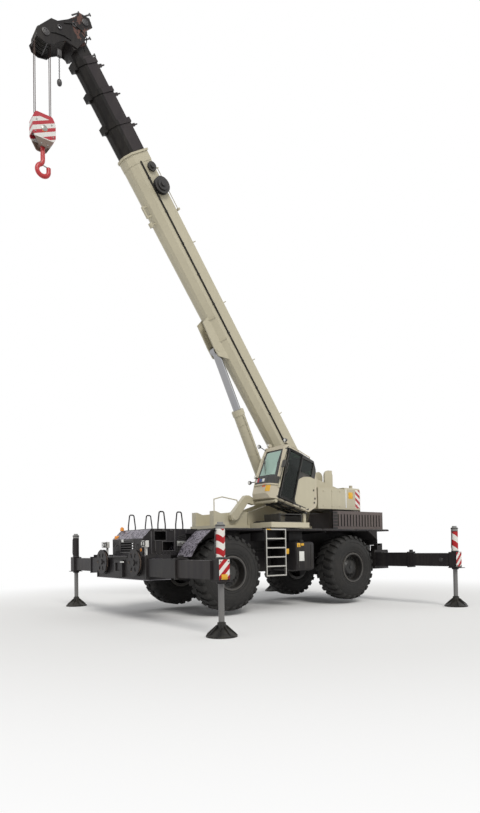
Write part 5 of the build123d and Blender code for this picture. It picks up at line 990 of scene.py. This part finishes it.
def makeLadderTreads():
    # raised dimples on the pressed rungs and the yellow mark on the first rung
    low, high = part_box("ladder")
    shape, mark = bmesh.new(), bmesh.new()
    for step in range(ladderTread["steps"]):
        z = low[2] + 0.0 + 0.015 + step * (high[2] - low[2] - 0.03) / (ladderTread["steps"] - 1) + 0.017
        for dimple in range(ladderTread["dimples"]):
            addTurned(shape, [(0.0, 0.012), (0.003, 0.010), (0.005, 0.0)],
                    (low[0] + 0.08 + dimple * (high[0] - low[0] - 0.16) / 8, ladderTread["y"], z - 0.002), (0, 0,
                    1), 8)
    addBlock(mark, (high[0] - 0.09, high[1] + 0.002, high[2] - 0.015), (0.14, 0.004, 0.026), None, 0.001)
    finishPiece("ladderDimples", shape, finishes["ladder_aluminium"], "carrier", merge=0.0002)
    finishPiece("ladderMark", mark, plain["yellowVinyl"], "carrier")


makeLadderTreads()


deckEdge = {"kickStrips": ((-3.90, -2.40), (-2.35, -1.10), (-1.05, 0.35), (1.10, 2.60)), "bolts": 30,
        "firstBolt": -3.80, "boltPitch": 0.215}


def makeDeckFittings():
    shape, hoses = bmesh.new(), bmesh.new()
    for side in (-1, 1):
        # kick strips and bolts along the deck's edge, mudguard stays
        for low, high in deckEdge["kickStrips"]:
            addBlock(shape, ((low + high) / 2, side * 1.478, 2.157), (high - low, 0.02, 0.018), None, 0.004)
        for bolt in range(deckEdge["bolts"]):
            x = deckEdge["firstBolt"] + deckEdge["boltPitch"] * bolt
            addBar(shape, (x, side * 1.488, 2.13), (x, side * 1.499, 2.13), 0.010, 6)
        for x, z in ((2.95, 1.84), (3.15, 1.62)):
            addTube(shape, [(x, side * 0.86, z - 0.01), (x, side * 1.45, z - 0.01)], 0.014, 8)
        # brake and steering hoses along the frame and into the axles
        for axleX in crane["axleX"]:
            addTube(hoses, [(axleX - 0.12, side * 0.44, 1.55), (axleX - 0.14, side * 0.56, 1.48),
                    (axleX - 0.10, side * 0.62, 1.33), (axleX - 0.05, side * 0.66, 1.22)], 0.014, 8)
            addTube(hoses, [(axleX + 0.10, side * 0.44, 1.60), (axleX + 0.15, side * 0.55, 1.50),
                    (axleX + 0.12, side * 0.60, 1.36), (axleX + 0.06, side * 0.58, 1.24)], 0.012, 8)
        addTube(hoses, [(-1.2, side * 0.436, 1.62), (-0.8, side * 0.436, 1.66), (0.4, side * 0.436, 1.64),
                (1.4, side * 0.436, 1.68)], 0.016, 8)
        addTube(hoses, [(-1.2, side * 0.436, 1.54), (-0.6, side * 0.436, 1.57), (0.3, side * 0.436, 1.55),
                (1.4, side * 0.436, 1.58)], 0.012, 8)
    finishPiece("deckFittings", shape, plain["charcoalSteel"], "carrier")
    finishPiece("carrierHoses", hoses, plain["blackRubber"], "carrier")


makeDeckFittings()


reelHose = {"radius": 0.013, "rows": (0.035, 0.06, 0.085), "steps": 28}


def makeReelHoses():
    # hose wound on each jack-hose reel
    low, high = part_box("hose_reels")
    shape = bmesh.new()
    radius = (high[2] - low[2]) / 2
    for side in (-1, 1):
        centre = Vector((0, side * (high[1] - radius), (low[2] + high[2]) / 2))
        for row, inset in enumerate(reelHose["rows"]):
            ring = radius * 0.80 - 0.012 * (row % 2)
            turns = [k * math.tau / reelHose["steps"] for k in range(reelHose["steps"] + 1)]
            path = [centre + Vector((low[0] + inset, ring * math.cos(a), ring * math.sin(a))) for a in turns]
            addTube(shape, path, reelHose["radius"], 6)
    finishPiece("reelHoses", shape, plain["brownSteel"], "carrier")


makeReelHoses()


def makeBeamFittings():
    # bolts, collar rings and a bent pipe at each jack, and the disc on the rear left beam
    for corner, jackX in crane["jackX"].items():
        side = 1 if corner.endswith("left") else -1
        shape = bmesh.new()
        y = side * crane["jackY"]
        for x in (-0.09, 0.09):
            for z in (1.10, 1.42):
                addBar(shape, (jackX + x, y + side * 0.119, z), (jackX + x, y + side * 0.134, z), 0.012, 6)
        for z in (1.49, 2.10):
            addTurned(shape, [(-0.014, 0.0885), (-0.012, 0.098), (0.012, 0.098), (0.014, 0.0885)], (jackX, y, z),
                    (0, 0, 1), 32)
        addTube(shape, [(jackX + 0.095, y - side * 0.02, 1.52), (jackX + 0.115, y - side * 0.03, 1.60),
                (jackX + 0.105, y - side * 0.02, 1.98), (jackX + 0.085, y, 2.02)], 0.010, 8)
        finishPiece("jackFittings_" + corner, shape, plain["charcoalSteel"], "inner_beam_" + corner)
    shape = bmesh.new()
    addTurned(shape, [(0.0, 0.0), (0.006, 0.0), (0.006, 0.052), (0.0, 0.056)], (-3.435 + 0.0, 3.62, 1.26), (1, 0, 0),
            24)
    finishPiece("beamDisc", shape, plain["charcoalSteel"], "inner_beam_rear_left")


makeBeamFittings()
print("carrier fitted")

# superstructure: ring bolts, hoses, grating bars, handrail ends, luffing cylinder fittings


slewRing = {"bolts": 48, "radius": 0.70, "top": 2.274, "boltRadius": 0.014}
grating = {"bars": 12, "pitch": 0.065, "firstX": -0.26, "top": 2.556}


def makeTableFittings():
    shape, hoses, grate = bmesh.new(), bmesh.new(), bmesh.new()
    for bolt in range(slewRing["bolts"]):
        angle = math.tau * bolt / slewRing["bolts"]
        spot = Vector((slewRing["radius"] * math.cos(angle), slewRing["radius"] * math.sin(angle), slewRing["top"]))
        if abs(spot.y) < 0.60:
            addBar(shape, spot, spot + Vector((0, 0, 0.022)), slewRing["boltRadius"], 6)
    # nuts on the luffing foot's cheeks and the boom foot, catches on the side cabinets
    for side in (-1, 1):
        for x, z, radius in ((-0.63, 2.62, 0.085), (-1.67, 3.5, 0.10)):
            addTurned(shape, [(0.0, 0.0), (0.02, 0.0), (0.02, radius - 0.02), (0.0, radius)], (x, side * 0.386, z),
                    (0, side, 0), 24)
            for bolt in range(6):
                angle = math.tau * bolt / 6
                spot = Vector((x + 0.6 * radius * math.cos(angle), side * 0.406, z + 0.6 * radius * math.sin(angle)))
                addBar(shape, spot, spot + Vector((0, side * 0.012, 0)), 0.010, 6)
        for x in (-2.05, -1.72, -1.38):
            addBlock(shape, (x, side * 1.256, 3.27), (0.07, 0.014, 0.035), None, 0.004)
            addBlock(shape, (x, side * 1.253, 2.84), (0.10, 0.008, 0.03), None, 0.003)
        addBlock(shape, (-1.70, side * 1.252, 3.05), (0.008, 0.006, 0.56), None, 0.002)
    finishPiece("tableFittings", shape, plain["beigeSteel"], "superstructure")

    # hoses up from the swivel to the boom foot and across to the cab
    for index in range(5):
        y = -0.26 + 0.05 * index
        addTube(hoses, [(-0.95, y, 2.28), (-1.00, y, 2.40), (-1.15, y, 2.50), (-1.40, y, 2.54), (-1.70, y, 2.55)],
                0.015, 8)
    for index in range(4):
        z = 2.40 + 0.05 * index
        addTube(hoses, [(-0.42, 0.64, z), (-0.38, 0.80, z - 0.02), (-0.40, 1.00, z), (-0.44, 1.24, z + 0.01),
                (-0.52, 1.40, z + 0.03)], 0.015, 8)
    for index in range(4):
        x = 0.58 + 0.05 * index
        addTube(hoses, [(x, 0.66, 2.34), (x + 0.01, 0.80, 2.37), (x, 1.05, 2.36), (x - 0.02, 1.30, 2.35),
                (x, 1.48, 2.345)], 0.014, 8)
    finishPiece("tableHoses", hoses, plain["blackRubber"], "superstructure")

    for bar in range(grating["bars"]):
        addBlock(grate, (grating["firstX"] + grating["pitch"] * bar, 1.15, grating["top"]), (0.008, 0.62, 0.012),
                None, 0.002)
    for y in (0.86, 1.05, 1.25, 1.44):
        addBlock(grate, (0.095, y, grating["top"]), (0.77, 0.010, 0.010), None, 0.002)
    for bar in range(20):
        addBlock(grate, (-0.26 + 0.038 * bar, 1.471, 2.43), (0.008, 0.008, 0.14), None, 0.002)
    finishPiece("cabGrating", grate, plain["blackSteel"], "superstructure")


makeTableFittings()


luffFittings = {"foot": (-0.63, 0, 2.62), "eye": (4.74, -0.49), "glandBolts": 12, "glandAt": 3.23,
        "bands": (0.9, 1.9, 2.8)}


def makeLuffFittings():
    # gland bolts and port hoses on the luffing barrel, worked along its own axis
    foot, eye = Vector(luffFittings["foot"]), boomPoint(*luffFittings["eye"])
    along = (eye - foot).normalized()
    across = Vector((0, 1, 0))
    third = along.cross(across)
    shape = bmesh.new()
    end = foot + along * luffFittings["glandAt"]
    for bolt in range(luffFittings["glandBolts"]):
        angle = math.tau * bolt / luffFittings["glandBolts"]
        spot = end + (across * math.cos(angle) + third * math.sin(angle)) * 0.142
        addBar(shape, spot - along * 0.004, spot + along * 0.014, 0.013, 6)
    for reach in luffFittings["bands"]:
        turns = [k * math.tau / 24 for k in range(25)]
        ring = [foot + along * reach + (across * math.cos(a) + third * math.sin(a)) * 0.164 for a in turns]
        addTube(shape, ring, 0.009, 6)
    addTube(shape, [foot + along * 0.42 + across * 0.168, foot + along * 0.45 + across * 0.195,
            foot + along * 2.98 + across * 0.195, foot + along * 3.05 + across * 0.165], 0.012, 8)
    finishPiece("luffBarrelPipes", shape, plain["beigeSteel"], "luff_barrel")


makeLuffFittings()
print("superstructure fitted")


valves = {"x": 3.12, "y": 0.80, "z": 1.80, "couplings": 5, "pipes": 3}


def makeValves():
    # hydraulic valve block, pipes and couplings in the openings on both sides of the hood
    shape, pipes = bmesh.new(), bmesh.new()
    for side in (-1, 1):
        y = side * valves["y"]
        addBlock(shape, (valves["x"], y, valves["z"]), (0.26, 0.10, 0.13), None, 0.012)
        for index in range(valves["couplings"]):
            x = 3.02 + 0.05 * index
            addTurned(shape, [(0.0, 0.016), (0.03, 0.016), (0.034, 0.011), (0.05, 0.011), (0.05, 0.0)],
                    (x, y + side * 0.05, 1.80 + 0.025 * (index % 2)), (0, side, 0), 10)
            addTube(pipes, [(x, y, 1.74), (x + 0.01, y + side * 0.03, 1.66), (x + 0.03, y + side * 0.02, 1.60),
                    (x + 0.08, y, 1.575)], 0.011, 8)
        for index in range(valves["pipes"]):
            z = 1.90 + 0.045 * index
            addTube(pipes, [(2.98, y, z), (3.05, y + side * 0.04, z + 0.02), (3.14, y + side * 0.04, z),
                    (3.24, y + side * 0.01, z - 0.03)], 0.012, 8)
    finishPiece("valveBlocks", shape, plain["zincSteel"], "carrier", merge=0.0002)
    finishPiece("valvePipes", pipes, plain["blackRubber"], "carrier")


makeValves()


# foot and tip of each stalk
workLamps = (
    (cabPoint(1.16, 1.50, 1.50), cabPoint(1.22, 1.62, 1.50)),
    (cabPoint(1.22, 1.42, 0.76), cabPoint(1.36, 1.52, 0.60)),
    (cabPoint(1.30, 0.50, 0.76), cabPoint(1.42, 0.44, 0.60)),
)


def makeCabLamps():
    # work lamps on stalks at the windscreen's corners
    lamps, lenses = bmesh.new(), bmesh.new()
    for foot, tip in workLamps:
        addBar(lamps, foot, tip, 0.012, 8)
        addTurned(lamps, [(-0.04, 0.0), (-0.04, 0.03), (-0.01, 0.05), (0.03, 0.055), (0.035, 0.048), (0.03, 0.0)],
                tip, (1, 0, -0.15), 20)
        addTurned(lenses, [(0.031, 0.045), (0.04, 0.038), (0.045, 0.0)], tip, (1, 0, -0.15), 20)
    finishPiece("cabWorkLamps", lamps, plain["blackSteel"], "cab", merge=0.0002)
    finishPiece("cabWorkLenses", lenses, plain["whitePolycarbonate"], "cab", merge=0.0002)


makeCabLamps()


# along the boom, foot and tip above its centre line, and across
headPosts = ((11.98, 0.10, 0.36, 0.12), (12.45, 0.40, 0.66, -0.10), (12.78, 0.52, 0.76, 0.16),
        (12.81, 0.20, 0.42, 0.22))


def makeHeadPosts():
    # short posts and a rod guide along the head's upper edge
    shape = bmesh.new()
    for along, low, high, y in headPosts:
        addBar(shape, boomPoint(along, low, y), boomPoint(along + 0.02, high, y), 0.018, 8)
        addBlock(shape, boomPoint(along + 0.02, high, y), (0.07, 0.03, 0.03), boomTurn, 0.008)
    finishPiece("headPosts", shape, plain["charcoalSteel"], "boom_section_5")


makeHeadPosts()
print("last fittings made")

bpy.context.scene.view_settings.view_transform = "Standard"
